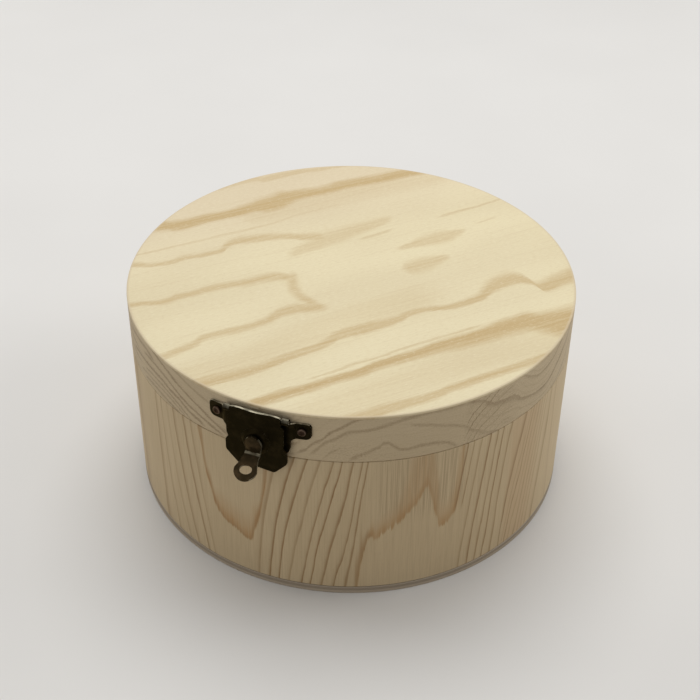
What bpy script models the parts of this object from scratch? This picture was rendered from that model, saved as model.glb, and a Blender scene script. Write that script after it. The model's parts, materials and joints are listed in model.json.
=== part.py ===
"""A round hinged wooden keepsake box with a turn-tongue hasp at the front and a butt hinge at the back.

Units are metres and +Z is up. The origin is the centre of the underside. The hasp faces -Y, the hinge +Y.
"""

import math

import bmesh
import bpy
from mathutils import Matrix

MM = 0.001

# Wooden box
OUTER_RADIUS = 90.0 * MM
WALL = 5.0 * MM
BASE_THICKNESS = 3.2 * MM
BODY_HEIGHT = 68.0 * MM  # underside to the body's rim
LID_HEIGHT = 20.8 * MM  # the lid's rim to its top
PANEL_THICKNESS = 3.2 * MM
PANEL_RIM = 1.0 * MM  # thickness of the panel where it covers the band's edge
PANEL_ROUND = 0.8 * MM
EDGE_BREAK = 0.3 * MM
SEAM_GAP = 0.3 * MM  # between the body's rim and the lid's
GLUE_GAP = 0.3 * MM  # between glued wooden pieces

# Fits of the metalwork
SEAT_GAP = 0.3 * MM  # between a plate's back and the wood at its nearest
HEAD_GAP = 0.1 * MM  # under a screw's head
SIDE_GAP = 0.25 * MM  # between the ends of neighbouring knuckles
BORE_GAP = 0.12 * MM  # round a pin or a spindle
SCREW_GAP = 0.25 * MM  # round a screw's shank
LIFT_GAP = 0.5 * MM  # between the keeper's arms and the flap that lifts past them
JOIN = 0.03 * MM  # how far a joined shape lies inside the faces that it would be flush with
CUT_REACH = 10.0 * MM  # how far a cutting shape runs past what it cuts

# Screws
SCREW_SHANK = 0.8 * MM
SCREW_HEAD = 1.65 * MM
SCREW_HEAD_HEIGHT = 1.0 * MM
SCREW_POINT = 1.3 * MM
SCREW_RESERVE = 1.3 * MM  # wood left between a screw's tip and the inside
KEEPER_HEAD = 1.5 * MM
KEEPER_HEAD_HEIGHT = 0.7 * MM

# Hasp plate, on the lid
PLATE_SHEET = 0.7 * MM
PLATE_HALF = 12.6 * MM  # half the width of the flat part
PLATE_DROP = 3.5 * MM  # hub to the plate's lower edge
PLATE_TAPER = (0.9 * MM, 2.6 * MM)  # run and rise of the slope at each lower corner
PLATE_CORNER = 0.65 * MM
PLATE_BEND = 1.8 * MM  # run of the bend between the flat part and an ear
EAR_LENGTH = 5.5 * MM  # from the bend to the ear's end
EAR_DROP = 1.05 * MM  # hinge axis to the ears' upper edge
EAR_HEIGHT = 7.0 * MM
EAR_CORNERS = (1.6 * MM, 2.2 * MM)  # radii of the upper and the lower corner
EAR_GUSSET = (1.1 * MM, 1.0 * MM)  # run and drop of the slope under an ear
EAR_SCREW = 2.0 * MM  # from the bend to the screw
ARCH_HALF = 5.0 * MM  # half the width of the arch that clears the keeper
ARCH_RISE = 4.4 * MM  # hub to the arch's top
ARCH_CORNER = 1.5 * MM
HASP_AXIS_ABOVE_HUB = 11.4 * MM
HASP_PIN = 0.55 * MM
KNUCKLE_LENGTH = 2.4 * MM

# Flap
FLAP_SHEET = 0.7 * MM
FLAP_SIDE = 11.0 * MM
FLAP_LOBE = 12.1 * MM
FLAP_DROP = 24.2 * MM  # hinge axis to the lowest points
FLAP_POINT = 7.0 * MM  # middle to each lowest point
POINT_DEPTH = 0.7 * MM  # the lowest points below the edge between them
LOBE_RISE = 5.6 * MM  # lowest points to the lobes' widest
LOBE_CORNER = 2.0 * MM
NOTCH_DROP = 0.4 * MM  # hub to the notches above the lobes
NOTCH_HALF = 2.0 * MM
NOTCH_DEPTH = 0.4 * MM
FLAP_CORNER = 0.8 * MM
FLAP_ROLL = 9.2 * MM  # length of the roll round the pin
LIP_RISE = 1.6 * MM  # hinge axis to the middle of the wavy upper edge
LIP_WAVE = 12.0 * MM  # radius of its waves
HUMP_RISE = 2.4 * MM  # hinge axis to the humps of that edge
HUMP_PLACE = 7.4 * MM  # middle to each hump's highest point
HUMP_SLOPE = 0.5 * MM  # the humps above the edge's ends
BOSS_RADIUS = 5.8 * MM
BOSS_RISE = 1.0 * MM
BOSS_SLOPE = 1.0 * MM

# Turn tongue with its spindle and cam finger
HUB_ABOVE_SEAM = 6.85 * MM
SPINDLE = 1.0 * MM
SPINDLE_COLLAR = 1.6 * MM
TENON_HALF = 0.75 * MM
CAM_SHEET = 0.5 * MM
CAM_REACH = 4.0 * MM
CAM_HALF = 1.2 * MM
CAM_CORNER = 0.5 * MM
WASHER_RADIUS = 2.6 * MM
WASHER_SHEET = 0.4 * MM
TONGUE_SHEET = 0.9 * MM
TONGUE_HALF = 3.3 * MM
TONGUE_CROWN = 3.7 * MM  # spindle axis to the top of the round upper end
TONGUE_NECK = 2.9 * MM  # half its width at the bend
TONGUE_DROP = 3.4 * MM  # spindle axis to the bend
TONGUE_DOME = 1.0 * MM
BILL_LENGTH = 11.2 * MM
BILL_SLOPE = math.radians(24.0)
BILL_END = 4.4 * MM  # radius of its round end
BILL_HOLE = (2.4 * MM, 1.85 * MM)
BEND_RADIUS = 0.9 * MM

# Keeper, on the body
KEEPER_SHEET = 0.6 * MM
KEEPER_HALF = 8.6 * MM
KEEPER_TOP = 0.6 * MM  # below the body's rim
KEEPER_HEIGHT = 5.2 * MM
KEEPER_CORNER = 2.0 * MM
KEEPER_SCREW = 6.4 * MM
ARM_INNER = 2.0 * MM
ARM_WIDTH = 2.2 * MM
ARM_CLEAR = 0.35 * MM  # between the cam finger and the arms
JOGGLE = 1.4 * MM

# Butt hinge
LEAF_SHEET = 0.8 * MM
LEAF_HALF = 12.0 * MM
LEAF_HEIGHT = 9.0 * MM
LEAF_CORNER = 1.6 * MM
LEAF_SCREW = (8.0 * MM, 5.7 * MM)
BARREL_RADIUS = 1.5 * MM
HINGE_PIN = 0.6 * MM
KNUCKLES = 5

# Smoothness
RIM_STEPS = 108
TURN_STEPS = 20
BEND_STEPS = 6
ARC_STEP = math.radians(18.0)
SHARP_ANGLE = math.radians(35.0)

# Heights
SEAM = BODY_HEIGHT + SEAM_GAP / 2
LID_BOTTOM = BODY_HEIGHT + SEAM_GAP
TOP = LID_BOTTOM + LID_HEIGHT
HUB = SEAM + HUB_ABOVE_SEAM
HASP_AXIS = HUB + HASP_AXIS_ABOVE_HUB
KEEPER_RISE = BODY_HEIGHT - KEEPER_TOP

# Distances outwards from the plane that touches the wall, one layer of metal after the other
PLATE_FRONT = SEAT_GAP + PLATE_SHEET
KEEPER_FRONT = SEAT_GAP + KEEPER_SHEET
CAM_BACK = SEAT_GAP + HEAD_GAP
CAM_FRONT = CAM_BACK + CAM_SHEET
ARM_BACK = CAM_FRONT + ARM_CLEAR
ARM_FRONT = ARM_BACK + KEEPER_SHEET
FLAP_BACK = ARM_FRONT + LIFT_GAP
FLAP_FRONT = FLAP_BACK + FLAP_SHEET
BOSS_FRONT = FLAP_FRONT + BOSS_RISE
WASHER_BACK = BOSS_FRONT + BORE_GAP
TONGUE_BACK = WASHER_BACK + WASHER_SHEET + BORE_GAP
TONGUE_FRONT = TONGUE_BACK + TONGUE_SHEET
HASP_BARREL = (FLAP_FRONT - SEAT_GAP) / 2
HASP_OFFSET = (FLAP_FRONT + SEAT_GAP) / 2
HINGE_OFFSET = SEAT_GAP + BARREL_RADIUS
LEAF_FRONT = SEAT_GAP + LEAF_SHEET

# Places of the ears and of the screws in them and in the keeper
EAR_START = PLATE_HALF + PLATE_BEND
EAR_END = EAR_START + EAR_LENGTH
EAR_TOP = HASP_AXIS - EAR_DROP
EAR_MIDDLE = EAR_TOP - EAR_HEIGHT / 2
KEEPER_MIDDLE = KEEPER_RISE - KEEPER_HEIGHT / 2

# Each frame takes (x, height, distance outwards from the wall) to the box's axes
FRONT = Matrix.Translation((0, -OUTER_RADIUS, 0)) @ Matrix.Rotation(math.pi / 2, 4, "X")
BACK = Matrix.Rotation(math.pi, 4, "Z") @ FRONT
# These let an outline be drawn from above, as (x, outwards), or from the side, as (height, outwards)
FROM_ABOVE = Matrix(((1, 0, 0, 0), (0, 0, 1, 0), (0, 1, 0, 0), (0, 0, 0, 1)))
FROM_SIDE = Matrix(((0, 0, 1, 0), (1, 0, 0, 0), (0, 1, 0, 0), (0, 0, 0, 1)))


# Materials

def finish(name, colour, metallic, roughness):
    """A Principled material of one colour."""
    made = bpy.data.materials.new(name)
    made.use_nodes = True
    made.diffuse_color = (*colour, 1.0)
    shader = made.node_tree.nodes["Principled BSDF"]
    shader.inputs["Base Color"].default_value = (*colour, 1.0)
    shader.inputs["Metallic"].default_value = metallic
    shader.inputs["Roughness"].default_value = roughness
    return made


def pine(name, colour):
    return finish(name, colour, 0.0, 0.62)


def bronze(name, colour):
    return finish(name, colour, 0.85, 0.45)


# Outlines

def arc(centre, radius, start, end, step=ARC_STEP):
    """Points on an arc from one angle to another, both ends among them."""
    count = max(1, math.ceil(abs(end - start) / step - 1e-9))
    angles = [start + (end - start) * k / count for k in range(count + 1)]
    return [(centre[0] + radius * math.cos(a), centre[1] + radius * math.sin(a)) for a in angles]


def rounded(corners):
    """The outline through corners given as (x, y, radius), each rounded by its radius."""
    points = []
    for k, (x, y, radius) in enumerate(corners):
        if not radius:
            points.append((x, y))
            continue
        before, after = corners[k - 1], corners[(k + 1) % len(corners)]
        into = math.atan2(y - before[1], x - before[0])
        out = math.atan2(after[1] - y, after[0] - x)
        turn = math.remainder(out - into, math.tau)
        room = min(math.dist((x, y), before[:2]), math.dist((x, y), after[:2])) / 2
        back = min(radius * abs(math.tan(turn / 2)), room)
        radius = back / abs(math.tan(turn / 2))
        side = math.copysign(math.pi / 2, turn)
        start = (x - back * math.cos(into), y - back * math.sin(into))
        centre = (start[0] + radius * math.cos(into + side), start[1] + radius * math.sin(into + side))
        points += arc(centre, radius, into - side, into - side + turn)
    return points


def mirrored(half):
    """The whole outline from its right half, which runs from the top down."""
    return half + [(-point[0], *point[1:]) for point in reversed(half) if point[0]]


def rolled(sheet, radius, tail, side, up):
    """The side view of a strip rolled round a pin at (0, 0), as (height, outwards).

    side is 1 where the strip's tail is in front of the pin and -1 behind it. up is 1 where the tail hangs
    below the pin and -1 where it stands above.
    """
    outer, inner = radius - JOIN, radius - sheet + JOIN
    around = math.radians(305.0)
    outside = arc((0, 0), outer, math.pi / 2, math.pi / 2 - around)
    inside = arc((0, 0), inner, math.pi / 2 - around, math.pi / 2)
    strip = [(-tail, outer), *outside, *inside, (-tail, inner)]
    return [(up * height, side * out) for height, out in strip]


# Solids, each a list of points and a list of faces

def placed(solid, matrix):
    points, faces = solid
    return [tuple(matrix @ Matrix.Translation(point).to_translation()) for point in points], faces


def joined(*solids):
    """Several separate closed shapes as one, for a cutter."""
    points, faces = [], []
    for more_points, more_faces in solids:
        faces += [tuple(index + len(points) for index in face) for face in more_faces]
        points += more_points
    return points, faces


def prism(outline, low, high):
    """An outline in X and Y, drawn out along Z."""
    count = len(outline)
    points = [(x, y, z) for z in (low, high) for x, y in outline]
    sides = [(k, (k + 1) % count, (k + 1) % count + count, k + count) for k in range(count)]
    return points, [tuple(reversed(range(count))), tuple(range(count, 2 * count)), *sides]


def turned(profile, steps=TURN_STEPS):
    """A closed profile of (radius, height) turned about Z. A point on the axis becomes one pole."""
    points, faces, rings = [], [], []
    for radius, height in profile:
        count = steps if radius else 1
        rings.append([len(points) + k for k in range(count)])
        angles = [math.tau * k / count for k in range(count)]
        points += [(radius * math.cos(a), radius * math.sin(a), height) for a in angles]
    for lower, upper in zip(rings, rings[1:] + rings[:1]):
        if len(lower) == len(upper) == 1:
            continue
        for k in range(steps):
            corners = [(lower, k), (lower, k + 1), (upper, k + 1), (upper, k)]
            faces.append(tuple(dict.fromkeys(ring[at % len(ring)] for ring, at in corners)))
    return points, faces


def rod(radius, low, high, steps=TURN_STEPS):
    return turned([(0, low), (radius, low), (radius, high), (0, high)], steps)


def strap(stations):
    """A strip through cross-sections given as (height, outwards, lean, half width, half thickness)."""
    points, faces = [], []
    for height, out, lean, half, thin in stations:
        rise, reach = thin * math.sin(lean), thin * math.cos(lean)
        points += [(-half, height - rise, out - reach), (half, height - rise, out - reach)]
        points += [(half, height + rise, out + reach), (-half, height + rise, out + reach)]
    for first in range(0, len(points) - 4, 4):
        for k in range(4):
            after = (k + 1) % 4
            faces.append((first + k, first + after, first + after + 4, first + k + 4))
    last = len(points) - 4
    return points, [(3, 2, 1, 0), *faces, tuple(range(last, last + 4))]


# Objects

def add(name, solid, material=None, pivot=None):
    """An object of one closed mesh with its faces outwards."""
    mesh = bpy.data.meshes.new(name)
    mesh.from_pydata(solid[0], [], solid[1])
    shape = bmesh.new()
    shape.from_mesh(mesh)
    bmesh.ops.recalc_face_normals(shape, faces=shape.faces[:])
    if shape.calc_volume(signed=True) < 0:
        bmesh.ops.reverse_faces(shape, faces=shape.faces[:])
    shape.to_mesh(mesh)
    shape.free()
    mesh.shade_smooth()
    mesh.set_sharp_from_angle(angle=SHARP_ANGLE)
    obj = bpy.data.objects.new(name, mesh)
    bpy.context.scene.collection.objects.link(obj)
    if material:
        mesh.materials.append(material)
    if pivot:
        obj.parent = pivot
        obj.matrix_parent_inverse = Matrix.Translation(-pivot.location)
    return obj


def change(obj, operation, word, solid):
    """Joins a shape to the object, cuts it away, or keeps only what lies in it."""
    tool = add(f"{obj.name}_{word}", solid, pivot=obj.parent)
    tool.hide_render = True
    tool.display_type = "WIRE"
    modifier = obj.modifiers.new(word, "BOOLEAN")
    modifier.operation = operation
    modifier.object = tool


def even_normals():
    """Shades the large faces flat or evenly round where a Boolean has cut them."""
    for obj in bpy.data.objects:
        if obj.modifiers:
            obj.modifiers.new("even_normals", "WEIGHTED_NORMAL").keep_sharp = True


def pivot_at(name, position, carrier=None):
    """An empty on a joint's axis, which carries the pieces that move about it."""
    made = bpy.data.objects.new(name, None)
    made.location = position
    made.empty_display_size = 10 * MM
    bpy.context.scene.collection.objects.link(made)
    if carrier:
        made.parent = carrier
        made.matrix_parent_inverse = Matrix.Translation(-carrier.location)
    return made


# Wooden pieces

def ring_profile(inner, outer, low, high):
    corners = [(inner, low), (outer, low), (outer, high), (inner, high)]
    ways = [(1, 1), (-1, 1), (-1, -1), (1, -1)]
    profile = []
    for k, ((radius, height), (inward, upward)) in enumerate(zip(corners, ways)):
        chamfer = [(radius, height + upward * EDGE_BREAK), (radius + inward * EDGE_BREAK, height)]
        profile += chamfer if k in (0, 2) else chamfer[::-1]
    return profile


def base_disc():
    radius = OUTER_RADIUS
    profile = [
        (0, 0),
        (radius - EDGE_BREAK, 0),
        (radius, EDGE_BREAK),
        (radius, BASE_THICKNESS),
        (0, BASE_THICKNESS),
    ]
    add("base_disc", turned(profile, RIM_STEPS), pine("base_ply", (0.62, 0.50, 0.36)))


def body_wall():
    profile = ring_profile(OUTER_RADIUS - WALL, OUTER_RADIUS, BASE_THICKNESS + GLUE_GAP, BODY_HEIGHT)
    wall = add("body_wall", turned(profile, RIM_STEPS), pine("wall_pine", (0.66, 0.55, 0.41)))
    keeper = [pilot(FRONT, side * KEEPER_SCREW, KEEPER_MIDDLE) for side in (-1, 1)]
    hinge = [pilot(BACK, side * LEAF_SCREW[0], SEAM - LEAF_SCREW[1]) for side in (-1, 1)]
    change(wall, "DIFFERENCE", "pilots", joined(*keeper, *hinge))


def lid_band(pivot):
    profile = ring_profile(OUTER_RADIUS - WALL, OUTER_RADIUS, LID_BOTTOM, TOP - PANEL_RIM - GLUE_GAP)
    band = add("lid_band", turned(profile, RIM_STEPS), pine("band_pine", (0.63, 0.53, 0.40)), pivot)
    ears = [pilot(ear_frame(side), 0, EAR_MIDDLE) for side in (-1, 1)]
    hinge = [pilot(BACK, side * LEAF_SCREW[0], SEAM + LEAF_SCREW[1]) for side in (-1, 1)]
    change(band, "DIFFERENCE", "pilots", joined(*ears, *hinge))


def lid_panel(pivot):
    """A disc whose rim covers the band's edge and whose thicker middle fits inside the band."""
    plug = OUTER_RADIUS - WALL - GLUE_GAP
    profile = [
        (0, TOP - PANEL_THICKNESS),
        (plug - EDGE_BREAK, TOP - PANEL_THICKNESS),
        (plug, TOP - PANEL_THICKNESS + EDGE_BREAK),
        (plug, TOP - PANEL_RIM),
        (OUTER_RADIUS, TOP - PANEL_RIM),
        *arc((OUTER_RADIUS - PANEL_ROUND, TOP - PANEL_ROUND), PANEL_ROUND, 0, math.pi / 2, math.pi / 8),
        (0, TOP),
    ]
    add("lid_panel", turned(profile, RIM_STEPS), pine("top_pine", (0.83, 0.74, 0.57)), pivot)


# Screws and their holes

def screw(name, frame, x, height, seat, pivot=None, head=SCREW_HEAD, rise=SCREW_HEAD_HEIGHT):
    """A domed screw whose head sits just off a plate's face at seat."""
    under = seat + HEAD_GAP
    tip = SCREW_RESERVE - WALL
    dome = (head**2 + rise**2) / (2 * rise)
    spread = math.asin(head / dome)
    crown = arc((0, under + rise - dome), dome, math.pi / 2 - spread, math.pi / 2, spread / 4)
    profile = [
        (0, tip),
        (SCREW_SHANK, tip + SCREW_POINT),
        (SCREW_SHANK, under),
        *crown[:-1],
        (0, under + rise),
    ]
    place = frame @ Matrix.Translation((x, height, 0))
    material = bronze(f"{name}_bronze", (0.16, 0.10, 0.065))
    add(name, placed(turned(profile), place), material, pivot)


def pilot(frame, x, height):
    """The hole for a screw in the wood."""
    hole = rod(SCREW_SHANK + SCREW_GAP, SCREW_RESERVE - WALL - SCREW_GAP, CUT_REACH)
    return placed(hole, frame @ Matrix.Translation((x, height, 0)))


def clearance_hole(frame, x, height):
    """The hole for a screw in a plate."""
    hole = rod(SCREW_SHANK + SCREW_GAP, -CUT_REACH, CUT_REACH)
    return placed(hole, frame @ Matrix.Translation((x, height, 0)))


# Hasp plate

def ear_frame(side):
    """The frame that touches the wall at the middle of an ear."""
    return Matrix.Rotation(side * math.asin((EAR_START + EAR_SCREW) / OUTER_RADIUS), 4, "Z") @ FRONT


def plate_out(x):
    """How far out the plate's back lies: flat in the middle, and following the wall at the ears."""
    wall = math.sqrt((OUTER_RADIUS + SEAT_GAP) ** 2 - x**2) - OUTER_RADIUS
    share = min(max((abs(x) - PLATE_HALF) / PLATE_BEND, 0), 1)
    ease = share * share * (3 - 2 * share)
    return SEAT_GAP * (1 - ease) + wall * ease


def plate_section():
    """The plate seen from above, as a strip of even thickness that runs a little past the ears' ends."""
    bend = [PLATE_HALF + PLATE_BEND * k / BEND_STEPS for k in range(BEND_STEPS + 1)]
    length = EAR_LENGTH + PLATE_SHEET
    right = bend + [EAR_START + length * share for share in (0.3, 0.65, 1)]
    back, front = [], []
    for x in [-x for x in reversed(right)] + right:
        slope = (plate_out(x + JOIN) - plate_out(x - JOIN)) / (2 * JOIN)
        length = math.hypot(1, slope)
        back.append((x, plate_out(x)))
        front.append((x - slope / length * PLATE_SHEET, plate_out(x) + PLATE_SHEET / length))
    return back + front[::-1]


def hasp_plate(pivot):
    """A plate with two bent ears, two rolled knuckles and an arch that clears the keeper."""
    ear_low = EAR_TOP - EAR_HEIGHT
    plate_low = HUB - PLATE_DROP
    knuckle = PLATE_HALF - KNUCKLE_LENGTH
    notch = HASP_AXIS - HASP_BARREL - SIDE_GAP
    outline = mirrored([
        (0, notch, 0),
        (knuckle - SIDE_GAP, notch, 0),
        (knuckle - SIDE_GAP + JOIN, HASP_AXIS, 0),
        (PLATE_HALF - JOIN, HASP_AXIS, 0),
        (PLATE_HALF + JOIN, EAR_TOP, 0),
        (EAR_END, EAR_TOP, EAR_CORNERS[0]),
        (EAR_END, ear_low, EAR_CORNERS[1]),
        (PLATE_HALF + EAR_GUSSET[0], ear_low, EAR_GUSSET[0]),
        (PLATE_HALF, ear_low - EAR_GUSSET[1], EAR_GUSSET[0]),
        (PLATE_HALF, plate_low + PLATE_TAPER[1], PLATE_CORNER),
        (PLATE_HALF - PLATE_TAPER[0], plate_low, PLATE_CORNER),
        (ARCH_HALF, plate_low, PLATE_CORNER / 2),
        (ARCH_HALF, HUB + ARCH_RISE, ARCH_CORNER),
        (0, HUB + ARCH_RISE, 0),
    ])
    section = prism(plate_section(), plate_low - CUT_REACH, HASP_AXIS + CUT_REACH)
    sheet = placed(section, FRONT @ FROM_ABOVE)
    plate = add("hasp_plate", sheet, bronze("plate_bronze", (0.085, 0.07, 0.052)), pivot)
    cut = placed(prism(rounded(outline), -CUT_REACH, CUT_REACH), FRONT)
    change(plate, "INTERSECT", "outline", cut)
    roll = rolled(PLATE_SHEET, HASP_BARREL, 2 * HASP_BARREL, -1, 1)
    place = FRONT @ Matrix.Translation((0, HASP_AXIS, HASP_OFFSET)) @ FROM_SIDE
    for side, word in ((-1, "knuckle_left"), (1, "knuckle_right")):
        ends = sorted((side * knuckle, side * PLATE_HALF))
        change(plate, "UNION", word, placed(prism(roll, *ends), place))
    holes = [clearance_hole(ear_frame(side), 0, EAR_MIDDLE) for side in (-1, 1)]
    change(plate, "DIFFERENCE", "screw_holes", joined(*holes))


def hasp_pin(pivot):
    place = FRONT @ Matrix.Translation((0, HASP_AXIS, HASP_OFFSET)) @ FROM_SIDE
    pin = placed(rod(HASP_PIN, -PLATE_HALF, PLATE_HALF), place)
    add("hasp_pin", pin, bronze("pin_bronze", (0.20, 0.17, 0.13)), pivot)


# Flap

def hasp_flap(pivot):
    """A lobed flap with a wavy upper edge, a roll behind it and a round boss for the spindle."""
    knuckle = PLATE_HALF - KNUCKLE_LENGTH - SIDE_GAP
    shoulder = HASP_AXIS - HASP_BARREL - 2 * SIDE_GAP
    hump = HASP_AXIS + HUMP_RISE
    notch = HUB - NOTCH_DROP
    low = HASP_AXIS - FLAP_DROP
    outline = mirrored([
        (0, HASP_AXIS + LIP_RISE, LIP_WAVE),
        (HUMP_PLACE, hump, LIP_WAVE),
        (knuckle, hump - HUMP_SLOPE, FLAP_CORNER),
        (knuckle, shoulder, 0),
        (FLAP_SIDE, shoulder - FLAP_CORNER, FLAP_CORNER),
        (FLAP_SIDE, notch + NOTCH_HALF, FLAP_CORNER),
        (FLAP_SIDE - NOTCH_DEPTH, notch, FLAP_CORNER),
        (FLAP_LOBE, notch - NOTCH_HALF, LOBE_CORNER),
        (FLAP_LOBE, low + LOBE_RISE, LOBE_CORNER),
        (FLAP_POINT, low, LOBE_CORNER),
        (0, low + POINT_DEPTH, 0),
    ])
    flap = add(
        "hasp_flap",
        placed(prism(rounded(outline), FLAP_BACK, FLAP_FRONT), FRONT),
        bronze("flap_bronze", (0.10, 0.082, 0.058)),
        pivot,
    )
    roll = rolled(FLAP_SHEET, HASP_BARREL, 2 * HASP_BARREL, 1, 1)
    place = FRONT @ Matrix.Translation((0, HASP_AXIS, HASP_OFFSET)) @ FROM_SIDE
    change(flap, "UNION", "roll", placed(prism(roll, -FLAP_ROLL / 2, FLAP_ROLL / 2), place))
    inner = BOSS_RADIUS - BOSS_SLOPE / 2 - FLAP_SHEET
    opening = rod(inner, -CUT_REACH, CUT_REACH, 2 * TURN_STEPS)
    hub = FRONT @ Matrix.Translation((0, HUB, 0))
    change(flap, "DIFFERENCE", "boss_opening", placed(opening, hub))
    change(flap, "UNION", "boss", placed(turned(boss_profile(), 2 * TURN_STEPS), hub))


def boss_profile():
    """The dished part of the flap, from its edge inside the flat sheet to the spindle's hole."""
    hole = SPINDLE + 2 * BORE_GAP
    ramp = BOSS_RADIUS - BOSS_SLOPE
    back, front = FLAP_BACK + JOIN, FLAP_FRONT - JOIN
    return [
        (BOSS_RADIUS, back),
        (BOSS_RADIUS, front),
        (BOSS_RADIUS - FLAP_SHEET / 4, front),
        (ramp - FLAP_SHEET / 4, BOSS_FRONT - BOSS_RISE / 8),
        (ramp - FLAP_SHEET, BOSS_FRONT),
        (hole, BOSS_FRONT),
        (hole, BOSS_FRONT - FLAP_SHEET),
        (ramp - FLAP_SHEET * 1.2, BOSS_FRONT - FLAP_SHEET),
        (BOSS_RADIUS - FLAP_SHEET * 1.2, back),
    ]


# Turn tongue

def turn_tongue(pivot):
    """A domed strap over the spindle that bends outwards into a bill with a round end and an oval eye."""
    middle = (TONGUE_BACK + TONGUE_FRONT) / 2
    thin = TONGUE_SHEET / 2
    crown = arc((0, 0), 1, math.radians(86), 0, math.radians(12))
    stations = [(HUB + rise * TONGUE_CROWN, middle, 0, run * TONGUE_HALF, thin) for run, rise in crown]
    turn = math.pi / 2 - BILL_SLOPE
    start = HUB - TONGUE_DROP + BEND_RADIUS * math.tan(turn / 2)
    for k in range(BEND_STEPS + 1):
        lean = turn * k / BEND_STEPS
        height = start - BEND_RADIUS * math.sin(lean)
        out = middle + BEND_RADIUS * (1 - math.cos(lean))
        stations.append((height, out, lean, TONGUE_NECK, thin))
    height, out = stations[-1][:2]
    centre = BILL_LENGTH - BILL_END
    for along, half in bill_outline(centre):
        stations.append((height - along * math.cos(turn), out + along * math.sin(turn), turn, half, thin))
    bronze_of_tongue = bronze("tongue_bronze", (0.17, 0.135, 0.09))
    tongue = add("turn_tongue", placed(strap(stations), FRONT), bronze_of_tongue, pivot)
    hub = FRONT @ Matrix.Translation((0, HUB, 0))
    stretch = Matrix.Diagonal((1, TONGUE_CROWN / TONGUE_HALF, 1, 1))
    change(tongue, "UNION", "dome", placed(tongue_dome(), hub @ stretch))
    socket = rod(SPINDLE + BORE_GAP, 0, TONGUE_FRONT + BORE_GAP)
    change(tongue, "DIFFERENCE", "socket", placed(socket, hub))
    middle_of_eye = (0, height - centre * math.cos(turn), out + centre * math.sin(turn))
    eye = Matrix.Translation(middle_of_eye) @ Matrix.Rotation(-turn, 4, "X")
    oval = Matrix.Diagonal((*BILL_HOLE, 1, 1))
    change(tongue, "DIFFERENCE", "eye", placed(rod(1, -BILL_END, BILL_END), FRONT @ eye @ oval))


def bill_outline(centre):
    """(distance from the bend, half width) along the bill: it widens, then ends in a round."""
    spread = BILL_END - TONGUE_NECK
    flank = [(centre * share, TONGUE_NECK + spread * share**2) for share in (0.25, 0.5, 0.75)]
    return flank + arc((centre, 0), BILL_END, math.pi / 2, math.radians(4), math.radians(12))


def tongue_dome():
    base = TONGUE_FRONT - JOIN
    inside = base - TONGUE_SHEET / 2
    radius = TONGUE_HALF - 2 * JOIN
    dome = (radius**2 + TONGUE_DOME**2) / (2 * TONGUE_DOME)
    spread = math.asin(radius / dome)
    crown = arc((0, base + TONGUE_DOME - dome), dome, math.pi / 2 - spread, math.pi / 2, spread / 4)
    return turned([(0, inside), (radius, inside), *crown[:-1], (0, base + TONGUE_DOME)])


def tongue_spindle(pivot):
    """A shaft with a collar behind the boss and a square tenon that turns the cam finger."""
    collar_front = BOSS_FRONT - FLAP_SHEET - BORE_GAP
    shaft = turned([
        (0, CAM_FRONT + BORE_GAP),
        (SPINDLE_COLLAR, CAM_FRONT + BORE_GAP),
        (SPINDLE_COLLAR, collar_front),
        (SPINDLE, collar_front),
        (SPINDLE, TONGUE_FRONT - BORE_GAP),
        (0, TONGUE_FRONT - BORE_GAP),
    ])
    hub = FRONT @ Matrix.Translation((0, HUB, 0))
    spindle = add("tongue_spindle", placed(shaft, hub), bronze("spindle_bronze", (0.20, 0.17, 0.13)), pivot)
    square = [(TENON_HALF * x, TENON_HALF * y) for x, y in ((-1, -1), (1, -1), (1, 1), (-1, 1))]
    tenon = prism(square, CAM_BACK, CAM_FRONT + SPINDLE)
    change(spindle, "UNION", "tenon", placed(tenon, hub))


def tongue_washer(pivot):
    hole = SPINDLE + BORE_GAP
    front = WASHER_BACK + WASHER_SHEET
    profile = [(hole, WASHER_BACK), (WASHER_RADIUS, WASHER_BACK), (WASHER_RADIUS, front), (hole, front)]
    hub = FRONT @ Matrix.Translation((0, HUB, 0))
    add("tongue_washer", placed(turned(profile), hub), bronze("washer_bronze", (0.20, 0.17, 0.13)), pivot)


def lock_cam(pivot):
    """A finger behind the flap that hangs between the keeper's arms and turns in behind one of them."""
    outline = arc((0, HUB), SPINDLE_COLLAR, math.radians(-35), math.radians(215))
    outline += [
        (-CAM_HALF, HUB - CAM_REACH + CAM_CORNER),
        (-CAM_HALF + CAM_CORNER, HUB - CAM_REACH),
        (CAM_HALF - CAM_CORNER, HUB - CAM_REACH),
        (CAM_HALF, HUB - CAM_REACH + CAM_CORNER),
    ]
    finger = placed(prism(outline, CAM_BACK, CAM_FRONT), FRONT)
    cam = add("lock_cam", finger, bronze("cam_bronze", (0.12, 0.10, 0.075)), pivot)
    hole = TENON_HALF + BORE_GAP
    square = [(hole * x, HUB + hole * y) for x, y in ((-1, -1), (1, -1), (1, 1), (-1, 1))]
    change(cam, "DIFFERENCE", "square_hole", placed(prism(square, -CUT_REACH, CUT_REACH), FRONT))


# Keeper

def arm_side():
    """The side view of an arm: up from the plate, out over the cam finger, up, and back to a lip."""
    half = KEEPER_SHEET / 2
    low = KEEPER_RISE - KEEPER_HEIGHT / 3
    bend = HUB - CAM_REACH - JOGGLE / 2
    lip = HUB + CAM_HALF + ARM_CLEAR + half
    path = [
        (low, SEAT_GAP + half),
        (bend - JOGGLE / 2, SEAT_GAP + half),
        (bend + JOGGLE / 2, ARM_BACK + half),
        (lip, ARM_BACK + half),
        (lip, CAM_BACK),
    ]
    return thick(path, half - JOIN)


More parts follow.
